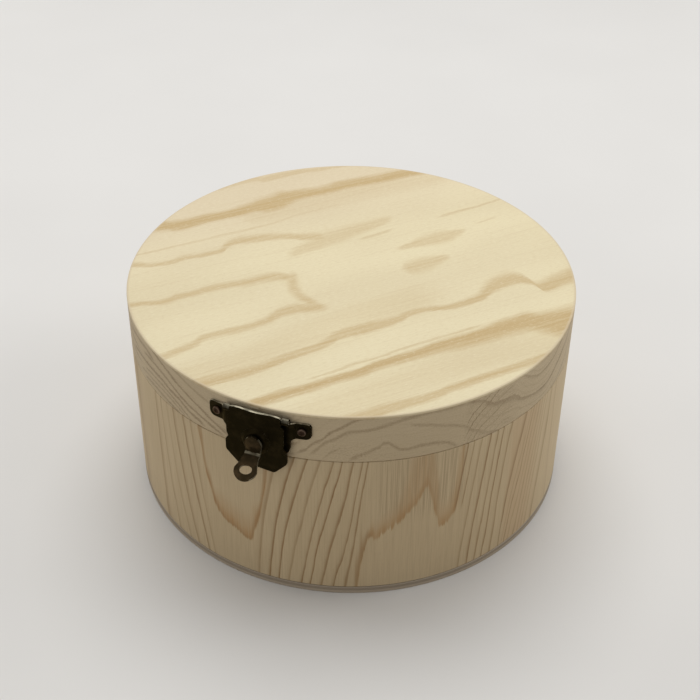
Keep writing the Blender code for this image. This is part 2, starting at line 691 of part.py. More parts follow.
def thick(path, half):
    """The outline of a strip of even thickness along a path of straight runs."""
    sides = ([], [])
    for k, here in enumerate(path):
        ways = []
        for start, end in ((path[max(k - 1, 0)], here), (here, path[min(k + 1, len(path) - 1)])):
            length = math.dist(start, end)
            if length:
                ways.append(((end[0] - start[0]) / length, (end[1] - start[1]) / length))
        first, last = ways[0], ways[-1]
        across = (-(first[1] + last[1]), first[0] + last[0])
        reach = half * 2 / (across[0] ** 2 + across[1] ** 2)
        for side, points in zip((1, -1), sides):
            points.append((here[0] + side * reach * across[0], here[1] + side * reach * across[1]))
    return sides[0] + sides[1][::-1]


def keeper_plate():
    """A plate on the body with two arms whose hooked ends catch the cam finger."""
    low = KEEPER_RISE - KEEPER_HEIGHT
    outline = rounded([
        (-KEEPER_HALF, low, KEEPER_CORNER),
        (KEEPER_HALF, low, KEEPER_CORNER),
        (KEEPER_HALF, KEEPER_RISE, KEEPER_CORNER),
        (-KEEPER_HALF, KEEPER_RISE, KEEPER_CORNER),
    ])
    plate = placed(prism(outline, SEAT_GAP, KEEPER_FRONT), FRONT)
    keeper = add("keeper_plate", plate, bronze("keeper_bronze", (0.085, 0.07, 0.052)))
    for side, word in ((-1, "arm_left"), (1, "arm_right")):
        ends = sorted((side * ARM_INNER, side * (ARM_INNER + ARM_WIDTH)))
        change(keeper, "UNION", word, placed(prism(arm_side(), *ends), FRONT @ FROM_SIDE))
    holes = [clearance_hole(FRONT, side * KEEPER_SCREW, KEEPER_MIDDLE) for side in (-1, 1)]
    change(keeper, "DIFFERENCE", "screw_holes", joined(*holes))


# Butt hinge

def hinge_leaf(name, up, own, pivot=None):
    """A leaf with its own rolled knuckles. up is 1 for the leaf above the pin and -1 for the one below."""
    near = BARREL_RADIUS + SIDE_GAP
    corners = [
        (-LEAF_HALF, near, 0),
        (-LEAF_HALF, LEAF_HEIGHT, LEAF_CORNER),
        (LEAF_HALF, LEAF_HEIGHT, LEAF_CORNER),
        (LEAF_HALF, near, 0),
    ]
    axis = BACK @ Matrix.Translation((0, SEAM, 0))
    outline = [(x, up * height) for x, height in rounded(corners)]
    sheet = placed(prism(outline, SEAT_GAP, LEAF_FRONT), axis)
    leaf = add(name, sheet, bronze(f"{name}_bronze", (0.10, 0.082, 0.058)), pivot)
    pitch = 2 * LEAF_HALF / KNUCKLES
    roll = rolled(LEAF_SHEET, BARREL_RADIUS, near + LEAF_SHEET, -1, -up)
    place = BACK @ Matrix.Translation((0, SEAM, HINGE_OFFSET)) @ FROM_SIDE
    for k in own:
        low = -LEAF_HALF + k * pitch + (SIDE_GAP / 2 if k else JOIN)
        high = -LEAF_HALF + (k + 1) * pitch - (SIDE_GAP / 2 if k < KNUCKLES - 1 else JOIN)
        change(leaf, "UNION", f"knuckle_{k + 1}", placed(prism(roll, low, high), place))
    places = [(side * LEAF_SCREW[0], SEAM + up * LEAF_SCREW[1]) for side in (-1, 1)]
    holes = [clearance_hole(BACK, x, height) for x, height in places]
    change(leaf, "DIFFERENCE", "screw_holes", joined(*holes))


def hinge_pin():
    place = BACK @ Matrix.Translation((0, SEAM, HINGE_OFFSET)) @ FROM_SIDE
    pin = placed(rod(HINGE_PIN, -LEAF_HALF, LEAF_HALF), place)
    add("hinge_pin", pin, bronze("hinge_pin_bronze", (0.20, 0.17, 0.13)))


def screws(lid):
    """Every screw. Left and right are as seen from the front."""
    for side, word in ((-1, "left"), (1, "right")):
        screw(f"hasp_screw_{word}", ear_frame(side), 0, EAR_MIDDLE, PLATE_FRONT, lid)
        keeper = (side * KEEPER_SCREW, KEEPER_MIDDLE, KEEPER_FRONT)
        screw(f"keeper_screw_{word}", FRONT, *keeper, None, KEEPER_HEAD, KEEPER_HEAD_HEIGHT)
        x, away = -side * LEAF_SCREW[0], LEAF_SCREW[1]
        screw(f"hinge_body_screw_{word}", BACK, x, SEAM - away, LEAF_FRONT)
        screw(f"hinge_lid_screw_{word}", BACK, x, SEAM + away, LEAF_FRONT, lid)


def main():
    for obj in list(bpy.data.objects):
        bpy.data.objects.remove(obj)
    lid = pivot_at("lid_pivot", (0, OUTER_RADIUS + HINGE_OFFSET, SEAM))
    flap = pivot_at("flap_pivot", (0, -OUTER_RADIUS - HASP_OFFSET, HASP_AXIS), lid)
    tongue = pivot_at("tongue_pivot", (0, -OUTER_RADIUS - TONGUE_BACK, HUB), flap)
    base_disc()
    body_wall()
    lid_band(lid)
    lid_panel(lid)
    hasp_plate(lid)
    hasp_pin(lid)
    hasp_flap(flap)
    turn_tongue(tongue)
    tongue_spindle(tongue)
    tongue_washer(tongue)
    lock_cam(tongue)
    keeper_plate()
    hinge_leaf("hinge_body_leaf", -1, range(1, KNUCKLES, 2))
    hinge_leaf("hinge_lid_leaf", 1, range(0, KNUCKLES, 2), lid)
    hinge_pin()
    screws(lid)
    even_normals()


main()
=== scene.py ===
import json
import math

import bmesh
import bpy
from mathutils import Matrix, Vector

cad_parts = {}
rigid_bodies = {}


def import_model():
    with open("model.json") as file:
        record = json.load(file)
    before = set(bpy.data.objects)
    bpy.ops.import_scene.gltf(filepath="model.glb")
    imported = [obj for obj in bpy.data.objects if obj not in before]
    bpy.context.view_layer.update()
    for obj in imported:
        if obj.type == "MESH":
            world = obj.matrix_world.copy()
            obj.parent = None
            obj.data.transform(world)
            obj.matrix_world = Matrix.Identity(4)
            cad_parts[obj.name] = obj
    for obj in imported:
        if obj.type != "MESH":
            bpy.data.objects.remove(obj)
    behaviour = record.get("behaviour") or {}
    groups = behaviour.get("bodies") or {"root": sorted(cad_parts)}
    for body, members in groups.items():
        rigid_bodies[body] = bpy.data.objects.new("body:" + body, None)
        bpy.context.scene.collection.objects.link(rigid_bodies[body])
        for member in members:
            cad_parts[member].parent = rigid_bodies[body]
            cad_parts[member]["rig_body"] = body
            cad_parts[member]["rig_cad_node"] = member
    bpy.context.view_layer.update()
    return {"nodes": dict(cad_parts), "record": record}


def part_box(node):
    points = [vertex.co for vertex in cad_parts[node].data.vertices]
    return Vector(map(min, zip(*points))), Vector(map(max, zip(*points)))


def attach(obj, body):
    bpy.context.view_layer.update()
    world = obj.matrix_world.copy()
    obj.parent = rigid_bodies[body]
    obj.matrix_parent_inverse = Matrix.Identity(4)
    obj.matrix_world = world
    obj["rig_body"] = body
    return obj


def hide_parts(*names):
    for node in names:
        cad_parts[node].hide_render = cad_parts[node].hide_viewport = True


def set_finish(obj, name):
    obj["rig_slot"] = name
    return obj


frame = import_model()

MM = 0.001

# The wooden pieces, in millimetres
OUTSIDE = 90.0  # radius of the walls, the base and the lid
INSIDE = 85.0
PLUG = 84.7  # radius of the panel's middle, inside the band
RIM = 1.0  # thickness of the panel's rim over the band
RIM_ROUND = 0.5
EDGE_ROUND = 0.4
GLUE = 0.28  # by which the band reaches up into its glue line under the panel
GLUED_ROUND = 0.08
CREASE = 0.1  # the step from the plug to the rim
STEPS_ROUND = 288  # facets of a turned piece
CORNER_STEPS = 4
UNDERSIDE_RINGS = (0, 40, 80)  # radii of the rings of corners across a flat face
FLOOR_RINGS = (84, 40, 0)
TOP_RINGS = (84, 60, 30, 0)

# The lid's sanded lower edge
WAVER = 0.12  # its unevenness
WAVER_HEIGHT = 1.0  # how far up it is uneven
WAVES = ((0.5, 3, 1.1), (0.3, 7, 0.4), (0.2, 16, 0.0))  # (share, waves round the lid, start)

# The stamped metal
SHEET_EDGE = 0.2
THIN_EDGE = 0.12
EDGE_SEGMENTS = 2
EDGE_FULLNESS = 0.6
SHARP = 40  # degrees, from which an edge is rounded
FLAT = 1  # degrees, under which two faces become one
SAME_CORNER = 0.002  # corners nearer than this become one

# Where the hasp is painted bright: painted highlights on its sheets' upward faces and on the tongue's bend,
# wear on the tongue's sides, and how bright
HIGHLIGHT_FROM = 85.0  # height from which the sheets' upward faces get a painted highlight
KNUCKLES = (86.0, 87.95)  # heights of the knuckles
FACING_UP = (0.3, 0.6)  # Z of a face's normal, where its painted highlight starts and where it is full
# how bright the painted highlight is on the sheets and on the knuckles
SHEET_HIGHLIGHT, KNUCKLE_HIGHLIGHT = 0.9, 0.32
TONGUE_BEND = (71.35, 71.6, 71.8, 71.95)  # heights between which the tongue's bend gets a painted highlight
FACING_SIDE, FACING_AHEAD = 0.6, 0.02  # X of a normal, the least on a side and the most on the bend
BEND_FACING = (0.5, 0.87)  # Z of a normal on the bend
# how bright the worn sides and the painted highlight on the bend are
SIDE_WEAR, BEND_HIGHLIGHT = 0.75, 0.6

# The screws
HEAD_RINGS = 24
HEAD_SPOKES = 72
HEAD_EDGE = 0.9  # over the head's radius, where its edge starts
HEAD_HIGHLIGHT = (0.7, 0.92)  # over the head's radius, where its dome gets a painted highlight ring
DOME_FOOT = 0.28  # where the dome starts, over the head's height
DOME_SHOULDER = 2.6  # 2 is an ellipse, and more is squarer
SEAT_ROUND = 0.06
RECESS = (0.52, 0.12, 0.26)  # an arm's length and half width over the head's radius, and its depth
ARM_TAPER = (1.25, 0.5)  # an arm's width at its root, and what it loses to its end
ARM_SLOPES = (0.07, 0.12)  # width of the slopes at an arm's sides and at its end
ARM_RISE = 0.35  # how much shallower an arm is at its end
SHANK = 0.8
POINT_LENGTH, POINT_BLUNT = 1.3, 0.5
# How far the left and the right screw of each pair are turned, in radians
SCREW_TURNS = {
    "hasp_screw": (0.35, 1.25),
    "keeper_screw": (0.6, 1.1),
    "hinge_body_screw": (0.2, 0.9),
    "hinge_lid_screw": (0.5, 1.3),
}

# The camera, in the frame where it looks along +Y
VIEW_TURN = 21.25  # degrees from the hasp's side
VIEW_HEIGHT = 36.981  # degrees over the table
VIEW_ROLL = 0.575
VIEW_DISTANCE = 583.64
VIEW_TARGET = (-0.30, 40.70)  # right of and above the origin, across the view
FOCAL_LENGTH = 67.5
SENSOR = 36.0


def metres(*point):
    return Vector(point) * MM


# Shapes

def shown(name, mesh, body, slot, *nodes):
    """A new piece that rides on a body and stands for CAD nodes."""
    piece = bpy.data.objects.new(name, mesh)
    bpy.context.scene.collection.objects.link(piece)
    for face in mesh.polygons:
        face.use_smooth = True
    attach(piece, body)
    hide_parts(*nodes)
    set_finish(piece, slot)
    return piece


def as_mesh(name, shape):
    """The finished mesh of a shape, with its faces pointing out."""
    bmesh.ops.recalc_face_normals(shape, faces=shape.faces)
    mesh = bpy.data.meshes.new(name)
    shape.to_mesh(mesh)
    shape.free()
    return mesh


def soft_corner(r, z, radius, start):
    """Points round a quarter of a circle at a corner of a profile, from start degrees on."""
    turns = [math.radians(start + 90 * i / CORNER_STEPS) for i in range(CORNER_STEPS + 1)]
    middle = math.radians(start + 45)
    across = r - math.copysign(radius, math.cos(middle))
    up = z - math.copysign(radius, math.sin(middle))
    return [(across + radius * math.cos(a), up + radius * math.sin(a)) for a in turns]


def waver(turn):
    """A small unevenness round a hand-sanded edge."""
    return WAVER * sum(share * math.sin(count * turn + start) for share, count, start in WAVES)


def bridge(shape, below, above):
    """Faces between two rings of a turned shape. A ring of one corner is a pole."""
    for i in range(len(below)):
        j = (i + 1) % len(below)
        corners = [below[i], below[j], above[j], above[i]]
        shape.faces.new(list(dict.fromkeys(corners)))


def turned(name, profile, closed=True, uneven_under=None):
    """A mesh turned round the Z axis. Its rings under the height uneven_under waver up and down."""
    shape = bmesh.new()
    rings = []
    for r, z in profile:
        if r == 0:
            rings.append([shape.verts.new(metres(0, 0, z))] * STEPS_ROUND)
            continue
        wavers = uneven_under is not None and z < uneven_under
        ring = []
        for i in range(STEPS_ROUND):
            turn = 2 * math.pi * i / STEPS_ROUND
            lift = waver(turn) if wavers else 0
            ring.append(shape.verts.new(metres(r * math.cos(turn), r * math.sin(turn), z + lift)))
        rings.append(ring)
    following = rings[1:] + rings[:1] if closed else rings[1:]
    for below, above in zip(rings, following):
        bridge(shape, below, above)
    return as_mesh(name, shape)


def ring_profile(low, high, upper_round=EDGE_ROUND):
    outer = soft_corner(OUTSIDE, low, EDGE_ROUND, -90) + soft_corner(OUTSIDE, high, upper_round, 0)
    inner = soft_corner(INSIDE, high, upper_round, 90) + soft_corner(INSIDE, low, EDGE_ROUND, 180)
    return outer + inner


def box_heights(node):
    low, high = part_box(node)
    return low.z / MM, high.z / MM


def disc(z, *radii):
    """Points of a profile across a flat face."""
    return [(r, z) for r in radii]


def wooden_pieces():
    low, high = box_heights("base_disc")
    base = disc(low, *UNDERSIDE_RINGS) + soft_corner(OUTSIDE, low, EDGE_ROUND, -90)
    base += soft_corner(OUTSIDE, high, EDGE_ROUND, 0) + disc(high, *FLOOR_RINGS)
    shown("ply_base", turned("ply_base", base, closed=False), "body", "base_ply", "base_disc")

    low, high = box_heights("body_wall")
    shown("bent_wall", turned("bent_wall", ring_profile(low, high)), "body", "wall_wood", "body_wall")

    low, high = box_heights("lid_band")
    profile = ring_profile(low, high + GLUE, GLUED_ROUND)
    band = turned("bent_band", profile, uneven_under=low + WAVER_HEIGHT)
    shown("bent_band", band, "lid", "band_wood", "lid_band")

    low, high = box_heights("lid_panel")
    panel = disc(low, *UNDERSIDE_RINGS) + soft_corner(PLUG, low, EDGE_ROUND, -90)
    panel += [(PLUG, high - RIM - CREASE), (PLUG + CREASE, high - RIM)]
    panel += soft_corner(OUTSIDE, high - RIM, GLUED_ROUND, -90)
    panel += soft_corner(OUTSIDE, high, RIM_ROUND, 0) + disc(high, *TOP_RINGS)
    shown("ply_top", turned("ply_top", panel, closed=False), "lid", "top_ply", "lid_panel")


def highlight_of_sheet(face):
    """Painted highlight: the upward faces of the hasp's upper end are painted bright most, and its knuckles
    less.
    """
    height = face.calc_center_median().z / MM
    if height < HIGHLIGHT_FROM:
        return 0
    start, full = FACING_UP
    upward = min(max((face.normal.z - start) / (full - start), 0), 1)
    return upward * (KNUCKLE_HIGHLIGHT if KNUCKLES[0] < height < KNUCKLES[1] else SHEET_HIGHLIGHT)


def tongue_wear_and_highlight(face):
    """The sides are rubbed most, and the inside of the bend gets a painted highlight."""
    side, up = abs(face.normal.x), face.normal.z
    if side > FACING_SIDE:
        return SIDE_WEAR
    return BEND_HIGHLIGHT if side < FACING_AHEAD and BEND_FACING[0] < up < BEND_FACING[1] else 0


def softened(node, width, slot, wear_and_highlight=highlight_of_sheet):
    """A copy of a CAD piece with its edges rounded, its worn edges and its painted highlights marked, which
    stands for it.
    """
    source = frame["nodes"][node]
    shape = bmesh.new()
    shape.from_mesh(source.data)
    # marks real wear on the rounded edges and painted highlights on upward faces
    worn = shape.loops.layers.float.new("worn")
    bmesh.ops.remove_doubles(shape, verts=shape.verts, dist=SAME_CORNER * MM)
    bmesh.ops.dissolve_limit(shape, angle_limit=math.radians(FLAT), verts=shape.verts, edges=shape.edges)
    shape.normal_update()
    for face in shape.faces:
        for corner in face.loops:
            corner[worn] = wear_and_highlight(face)
    sharp = [e for e in shape.edges if e.is_manifold and e.calc_face_angle(0) > math.radians(SHARP)]
    cut = bmesh.ops.bevel(
        shape, geom=sharp, offset=width * MM, segments=EDGE_SEGMENTS, profile=EDGE_FULLNESS,
        clamp_overlap=True, affect="EDGES")
    for face in cut["faces"]:
        for corner in face.loops:
            corner[worn] = 1
    piece = shown("soft_" + node, as_mesh("soft_" + node, shape), source["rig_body"], slot, node)
    even = piece.modifiers.new("even_shading", "WEIGHTED_NORMAL")
    even.keep_sharp = True


def cross_depth(across, up):
    """How deep the driver's cross is at a place on a head, both over its radius."""
    length, half, depth = RECESS
    root, taper = ARM_TAPER
    side_slope, end_slope = ARM_SLOPES

    def arm(along, beside):
        side = (half * (root - taper * along / length) - beside) / side_slope
        end = (length - along) / end_slope
        return min(max(min(side, end), 0), 1)

    across, up = abs(across), abs(up)
    level = 1.0 - ARM_RISE * math.hypot(across, up) / length
    return depth * level * max(arm(across, up), arm(up, across))


def screw_axis(node):
    """Which way a screw's head faces. The hasp's ears follow the round wall."""
    if node.startswith("keeper"):
        return Vector((0, -1, 0))
    if node.startswith("hinge"):
        return Vector((0, 1, 0))
    low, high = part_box(node)
    place = (low + high) / 2
    return Vector((place.x, place.y, 0)).normalized()


def cut_screw(node, turn):
    """A wood screw with a domed head, cut with a cross, where the CAD screw stands."""
    source = frame["nodes"][node]
    outward = screw_axis(node)
    corners = [v.co / MM for v in source.data.vertices]
    middle = sum(corners, Vector()) / len(corners)
    heights = [(p - middle).dot(outward) for p in corners]
    reaches = [(p - middle - outward * h).length for p, h in zip(corners, heights)]
    head = max(reaches)
    top, tip = max(heights), min(heights)
    seat = min(h for h, r in zip(heights, reaches) if r > HEAD_EDGE * head)
    side = outward.cross(Vector((0, 0, 1))).normalized()
    up = side.cross(outward)
    shape = bmesh.new()
    sunk_in = shape.verts.layers.float.new("sunk")
    highlight_ring = shape.verts.layers.float.new("worn")

    def ring(r, level, dome=False):
        """Corners round the screw. The cross sinks those of the dome, and its shoulder gets a painted
        highlight.
        """
        points = []
        for i in range(HEAD_SPOKES):
            spoke = 2 * math.pi * i / HEAD_SPOKES
            c, s = r * math.cos(spoke + turn), r * math.sin(spoke + turn)
            deep = cross_depth(r * math.cos(spoke) / head, r * math.sin(spoke) / head) if dome else 0
            point = shape.verts.new((middle + side * c + up * s + outward * (level - deep)) * MM)
            point[sunk_in] = deep / RECESS[2]
            # painted highlight ring on the dome's shoulder
            point[highlight_ring] = 1 if dome and HEAD_HIGHLIGHT[0] < r / head < HEAD_HIGHLIGHT[1] else 0
            points.append(point)
        return points

    def pole(level, sunk=0):
        point = shape.verts.new((middle + outward * level) * MM)
        point[sunk_in] = sunk
        return [point] * HEAD_SPOKES

    foot = seat + DOME_FOOT * (top - seat)
    rings = [pole(top - RECESS[2], 1)]
    for k in range(1, HEAD_RINGS + 1):
        share = k / HEAD_RINGS
        height = math.sqrt(max(0, 1 - share ** DOME_SHOULDER))
        rings.append(ring(head * share, foot + (top - foot) * height, dome=True))
    rings += [ring(head, seat + SEAT_ROUND), ring(head - SEAT_ROUND, seat), ring(SHANK, seat)]
    rings += [ring(SHANK, tip + POINT_LENGTH), ring(SHANK / 2, tip + POINT_BLUNT), pole(tip)]
    for below, above in zip(rings, rings[1:]):
        bridge(shape, below, above)
    shown("cut_" + node, as_mesh("cut_" + node, shape), source["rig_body"], "screw_bronze", node)


def metal_pieces():
    for node in ("hasp_plate", "hasp_flap", "keeper_plate", "hinge_body_leaf", "hinge_lid_leaf"):
        softened(node, SHEET_EDGE, "black_bronze")
    softened("turn_tongue", SHEET_EDGE, "brown_bronze", tongue_wear_and_highlight)
    softened("lock_cam", THIN_EDGE, "brown_bronze")
    for node in ("hasp_pin", "hinge_pin", "tongue_spindle", "tongue_washer"):
        softened(node, THIN_EDGE, "worn_bronze")
    for count, side in enumerate(("left", "right")):
        for screw, turns in SCREW_TURNS.items():
            cut_screw(f"{screw}_{side}", turns[count])


# Finishes

class Signal:
    """One output of a finish's node tree, with Python's arithmetic."""

    def __init__(self, finish, socket):
        self.finish = finish
        self.socket = socket

    def __add__(self, other):
        return self.finish.maths("ADD", self, other)

    def __sub__(self, other):
        return self.finish.maths("SUBTRACT", self, other)

    def __rsub__(self, other):
        return self.finish.maths("SUBTRACT", other, self)

    def __mul__(self, other):
        return self.finish.maths("MULTIPLY", self, other)

    def __truediv__(self, other):
        return self.finish.maths("DIVIDE", self, other)

    def __rtruediv__(self, other):
        return self.finish.maths("DIVIDE", other, self)

    __radd__ = __add__
    __rmul__ = __mul__


class Finish:
    """A material, its node tree and the places that its patterns start from."""

    def __init__(self, name):
        self.material = bpy.data.materials.new(name)
        self.material.use_nodes = True
        self.tree = self.material.node_tree
        self.tree.nodes.clear()
        self.shader = self.tree.nodes.new("ShaderNodeBsdfPrincipled")
        output = self.tree.nodes.new("ShaderNodeOutputMaterial")
        self.tree.links.new(self.shader.outputs[0], output.inputs["Surface"])
        self.place = self.vector("SCALE", self.node("TexCoord", {}, {}, "Object"), scale=1 / MM)
        self.x, self.y, self.z = self.split(self.place)

    def feed(self, socket, value):
        if isinstance(value, Signal):
            self.tree.links.new(value.socket, socket)
        elif isinstance(value, tuple) and len(value) == 3 and socket.type == "RGBA":
            socket.default_value = (*value, 1)
        else:
            socket.default_value = value

    def node(self, kind, settings, sockets, output=0):
        """One node. Its settings come first, then the values or links of its sockets."""
        made = self.tree.nodes.new("ShaderNode" + kind)
        for word, value in settings.items():
            if word == "points":
                self.bend(made.mapping, value)
            else:
                setattr(made, word, value)
        for socket, value in sockets.items():
            self.feed(made.inputs[socket], value)
        return Signal(self, made.outputs[output])

    def bend(self, mapping, points):
        curve = mapping.curves[0]
        for _ in points[2:]:
            curve.points.new(0.5, 0.5)
        for point, place in zip(curve.points, points):
            point.location = place
            point.handle_type = "AUTO_CLAMPED"
        mapping.update()

    def maths(self, operation, *values):
        return self.node("Math", {"operation": operation}, dict(enumerate(values)))

    def most(self, *values):
        """The largest of several values."""
        if len(values) == 1:
            return values[0]
        return self.maths("MAXIMUM", self.most(*values[:-1]), values[-1])

    def vector(self, operation, *values, scale=None):
        sockets = dict(enumerate(values))
        if scale is not None:
            sockets["Scale"] = scale
        return self.node("VectorMath", {"operation": operation}, sockets)

    def split(self, vector):
        made = self.tree.nodes.new("ShaderNodeSeparateXYZ")
        self.feed(made.inputs[0], vector)
        return [Signal(self, socket) for socket in made.outputs]

    def point(self, x, y, z):
        return self.node("CombineXYZ", {}, {"X": x, "Y": y, "Z": z})

    def step(self, value, low, high):
        """0 up to low and 1 from high on, with a smooth rise. low may be the larger."""
        sockets = {"Value": value, "From Min": low, "From Max": high}
        return self.node("MapRange", {"interpolation_type": "SMOOTHSTEP"}, sockets)

    def between(self, value, start, full, still, end):
        """0 up to start, 1 from full to still, and 0 again from end on."""
        return self.step(value, start, full) * self.step(value, end, still)

    def curve(self, value, points):
        """A smooth line through points of (value, result)."""
        xs, ys = zip(*points)
        low, span = min(xs), max(xs) - min(xs)
        floor, rise = min(ys), (max(ys) - min(ys)) or 1
        places = [((x - low) / span, (y - floor) / rise) for x, y in points]
        return self.node("FloatCurve", {"points": places}, {"Value": (value - low) / span}) * rise + floor

    def noise(self, place, stretch, detail=2.0, roughness=0.5):
        """Noise from 0 to 1, with 0.5 as its middle, that repeats about once in 1 / stretch."""
        where = {"Vector": self.vector("MULTIPLY", place, stretch), "Scale": 1.0}
        return self.node("TexNoise", {}, {**where, "Detail": detail, "Roughness": roughness})

    def sway(self, place, stretch, detail=2.0, roughness=0.5):
        """Noise from -0.5 to 0.5, with 0 as its middle."""
        return self.noise(place, stretch, detail, roughness) - 0.5

    def mix(self, amount, first, second):
        """One colour passing into another. The numbers are those of the node's colour sockets."""
        return self.node("Mix", {"data_type": "RGBA"}, {0: amount, 6: first, 7: second}, 2)

    def laid(self, colour, *layers):
        """A colour with others laid over it in turn: how much of each shows, and its colour."""
        for amount, over in layers:
            colour = self.mix(amount, colour, over)
        return colour

    def random(self, value):
        return self.node("TexWhiteNoise", {"noise_dimensions": "1D"}, {"W": value})

    def late_wood(self, ring):
        """The dark end of each growth ring, darker in some rings than in others."""
        line = self.curve(self.maths("FRACT", ring), LATE_WOOD)
        return line * (self.random(self.maths("FLOOR", ring)) * (1 - PALEST_RING) + PALEST_RING)

    def surface(self, colour, roughness, height, relief, **constants):
        """Feeds the shader. relief is the depth of the bumps, in millimetres, and their strength."""
        self.feed(self.shader.inputs["Base Color"], colour)
        self.feed(self.shader.inputs["Roughness"], roughness)
        depth, strength = relief
        sockets = {"Strength": strength, "Distance": depth * MM, "Height": height}
        self.feed(self.shader.inputs["Normal"], self.node("Bump", {}, sockets))
        for word, value in constants.items():
            self.feed(self.shader.inputs[word.replace("_", " ")], value)
        return self.material


WOOD_RELIEF = (0.04, 0.5)
METAL_RELIEF = (0.03, 0.35)
TABLE_RELIEF = (0.05, 0.6)

# Darkness across a growth ring, from its early wood to its end
LATE_WOOD = [(0, 0.2), (0.05, 0), (0.5, 0), (0.68, 0.12), (0.82, 0.5), (0.91, 0.95), (0.95, 1), (1, 0.2)]
PALEST_RING = 0.5  # how dark the palest ring's end is, over the darkest's

# Grain of the bent wall. s runs round the wall from the hasp to the right, in millimetres, and z upwards.
HALF_ROUND = 283  # s of the joint at the back
JOINT = (HALF_ROUND - 0.75, HALF_ROUND - 0.45)  # where its line starts and is full
WALL_TOP = 66.0  # where the grain lines have their named places
WALL_RUN = 60.0  # the way down on which they lean as named
LEAN_BOW = 0.035  # how far the leaning lines are bowed
WALL_FOOT = 3.5
FOOT_SHADE = (WALL_FOOT + 0.5, WALL_FOOT + 0.1)  # where the painted shade line over the base starts and is full
# (s, how far a grain line moves to the left on its way down)
WALL_LEAN = [
    (-283, 0), (-200, 3), (-150, 0), (-100, -2), (-66, -1), (-56, -0.5), (-54, -1.3), (-50, -3.5),
    (-45.3, -5.9), (-43.5, -6.2), (-38, -8.8), (-32.2, -9.2), (-27.5, -8.7), (-13, 1), (0, 9.8), (2.3, 10.3),
    (6.1, 11), (10.6, 11.9), (15.5, 11.4), (18.5, 11.6), (22.4, 11.3), (25, 10.9), (27.5, 10.2), (30, 8.9),
    (32.6, 7.4), (36.4, 6.5), (40, 6.3), (78, 6.4), (86, 6.4),
    (91, 5.5), (95, 5.8), (99, 9.5), (103, 10.5), (108, 9), (116, 7.5), (123, 6), (128, 2), (133, -2),
    (140, -3), (200, -6), (283, 0),
]
# (s at the wall's upper edge, growth ring)
WALL_RINGS = [
    (-283, 30), (-230, 20.4), (-170, 13.4), (-120, 9.4), (-66, 7.5), (-55.3, 7), (-51.2, 6), (-46.6, 5),
    (-42.5, 4), (-36.2, 3), (-29, 1.6), (-12, 1.3), (3, 1.6), (7, 2), (12.9, 3), (17.6, 4), (22.5, 5),
    (27.5, 6), (30.6, 7), (34.7, 8), (38.0, 9), (40, 10), (42.5, 10.3), (76, 10.5), (81.4, 12), (85, 13),
    (89.1, 14), (92.7, 15), (95.6, 16), (100, 17), (108.6, 18), (113.1, 20), (119.8, 23), (125.5, 25.5),
    (128, 26), (134, 27.1), (150, 27.4), (180, 33), (230, 42), (283, 52),
]
# (s, strength of the ring lines)
WALL_STRENGTH = [
    (-283, 0.7), (-90, 0.55), (-60, 0.5), (-40, 0.65), (-5, 0.8), (5, 1), (95, 0.9), (104, 0.8), (110, 0.75),
    (125, 0.6), (136, 0.35), (160, 0.6), (283, 0.8),
]
# (s, z) of the late wood's lower edge in the two cathedrals of the front
V_FIGURE = [
    (-30, 90), (-27.5, 66.8), (-26.2, 58.2), (-25.3, 49), (-23.5, 41), (-21.2, 31.8), (-18.5, 27.3),
    (-12.5, 24), (-6.2, 20.4), (-5.4, 21), (-3.9, 26.4), (-2.1, 31.8), (-0.3, 39), (1.1, 49), (2, 55.5),
    (3, 66), (5, 90),
]
W_FIGURE = [
    (35.5, -10), (36.7, 5), (37.5, 11.6), (38.2, 19), (39.5, 25), (41, 29.7), (42, 31), (43.2, 28.6),
    (45.6, 31.5), (48.8, 33.6), (51.4, 36.2), (53.4, 38.8), (56, 41.5), (58.6, 44.5), (60, 47.5),
    (61.2, 50.5), (62.5, 52.5), (63.8, 48.6), (65.4, 42.7), (66.4, 38.8), (67.7, 33.6), (68.8, 30),
    (70.3, 30.6), (72.2, 31.7), (74.2, 35), (75.5, 39), (76.2, 43), (76.6, 52), (77, 66), (78, 90),
]
# (s, how high the reddish flush rises over that edge)
V_FLUSH = [
    (-30, 2.5), (-25, 4), (-22, 7), (-20, 10), (-17, 13), (-13, 12), (-9, 13), (-6, 14), (-3.5, 12),
    (-1, 7), (5, 4),
]
W_FLUSH = [
    (35.5, 2), (40, 4), (42.5, 9), (50, 10), (53, 14), (56, 26), (59, 40), (63, 40), (65, 30), (67, 20),
    (70, 12), (73, 13), (75.5, 30), (78, 34),
]
# How ragged the combed edge of each figure is, how dark its line and how red its flush
V_COMB, V_LINE, V_RED = 3.5, 0.35, 0.92
W_COMB, W_LINE, W_RED = 8, 0.1, 0.76
W_LIMB = (43, 40)  # s from where the second figure's left limb is darker, and fully so
W_LIMB_LINE = 0.36
# The plain wood under the second figure, as (start, full, still full, end) round the wall
W_FOOT = (42, 43, 82.5, 83.5)
W_FOOT_HEIGHT = (40, 34)
# The fine threads inside it
W_THREADS = (42, 47, 76, 80)
W_THREADS_HEIGHT = (33, 46)
# The reddish strip at the right
BLUSH = (98, 103, 112, 124)

# A figure's line and glow, as (start, full, still full, end) over its edge
FIGURE_LINE = (-0.4, 0.3, 0.4, 2.4)
FIGURE_GLOW = (-0.7, 0.3, 0.5, 2.0)
GLOW_DEPTH = 0.6
FIGURE_END = 0.6  # run of the fade at a figure's end
SLOPE_HALF = 0.4  # how far to each side a figure's slope is taken
SLOPE_THINNING = 1.6  # how much its steep lines are thinned
FLUSH_START = (-0.9, 0.9)
FLUSH_FADE = (7, 1.5)
FLUSH_TOP = (1.3, 0.25)  # over the flush's height
FAINT_FLUSH = 0.6

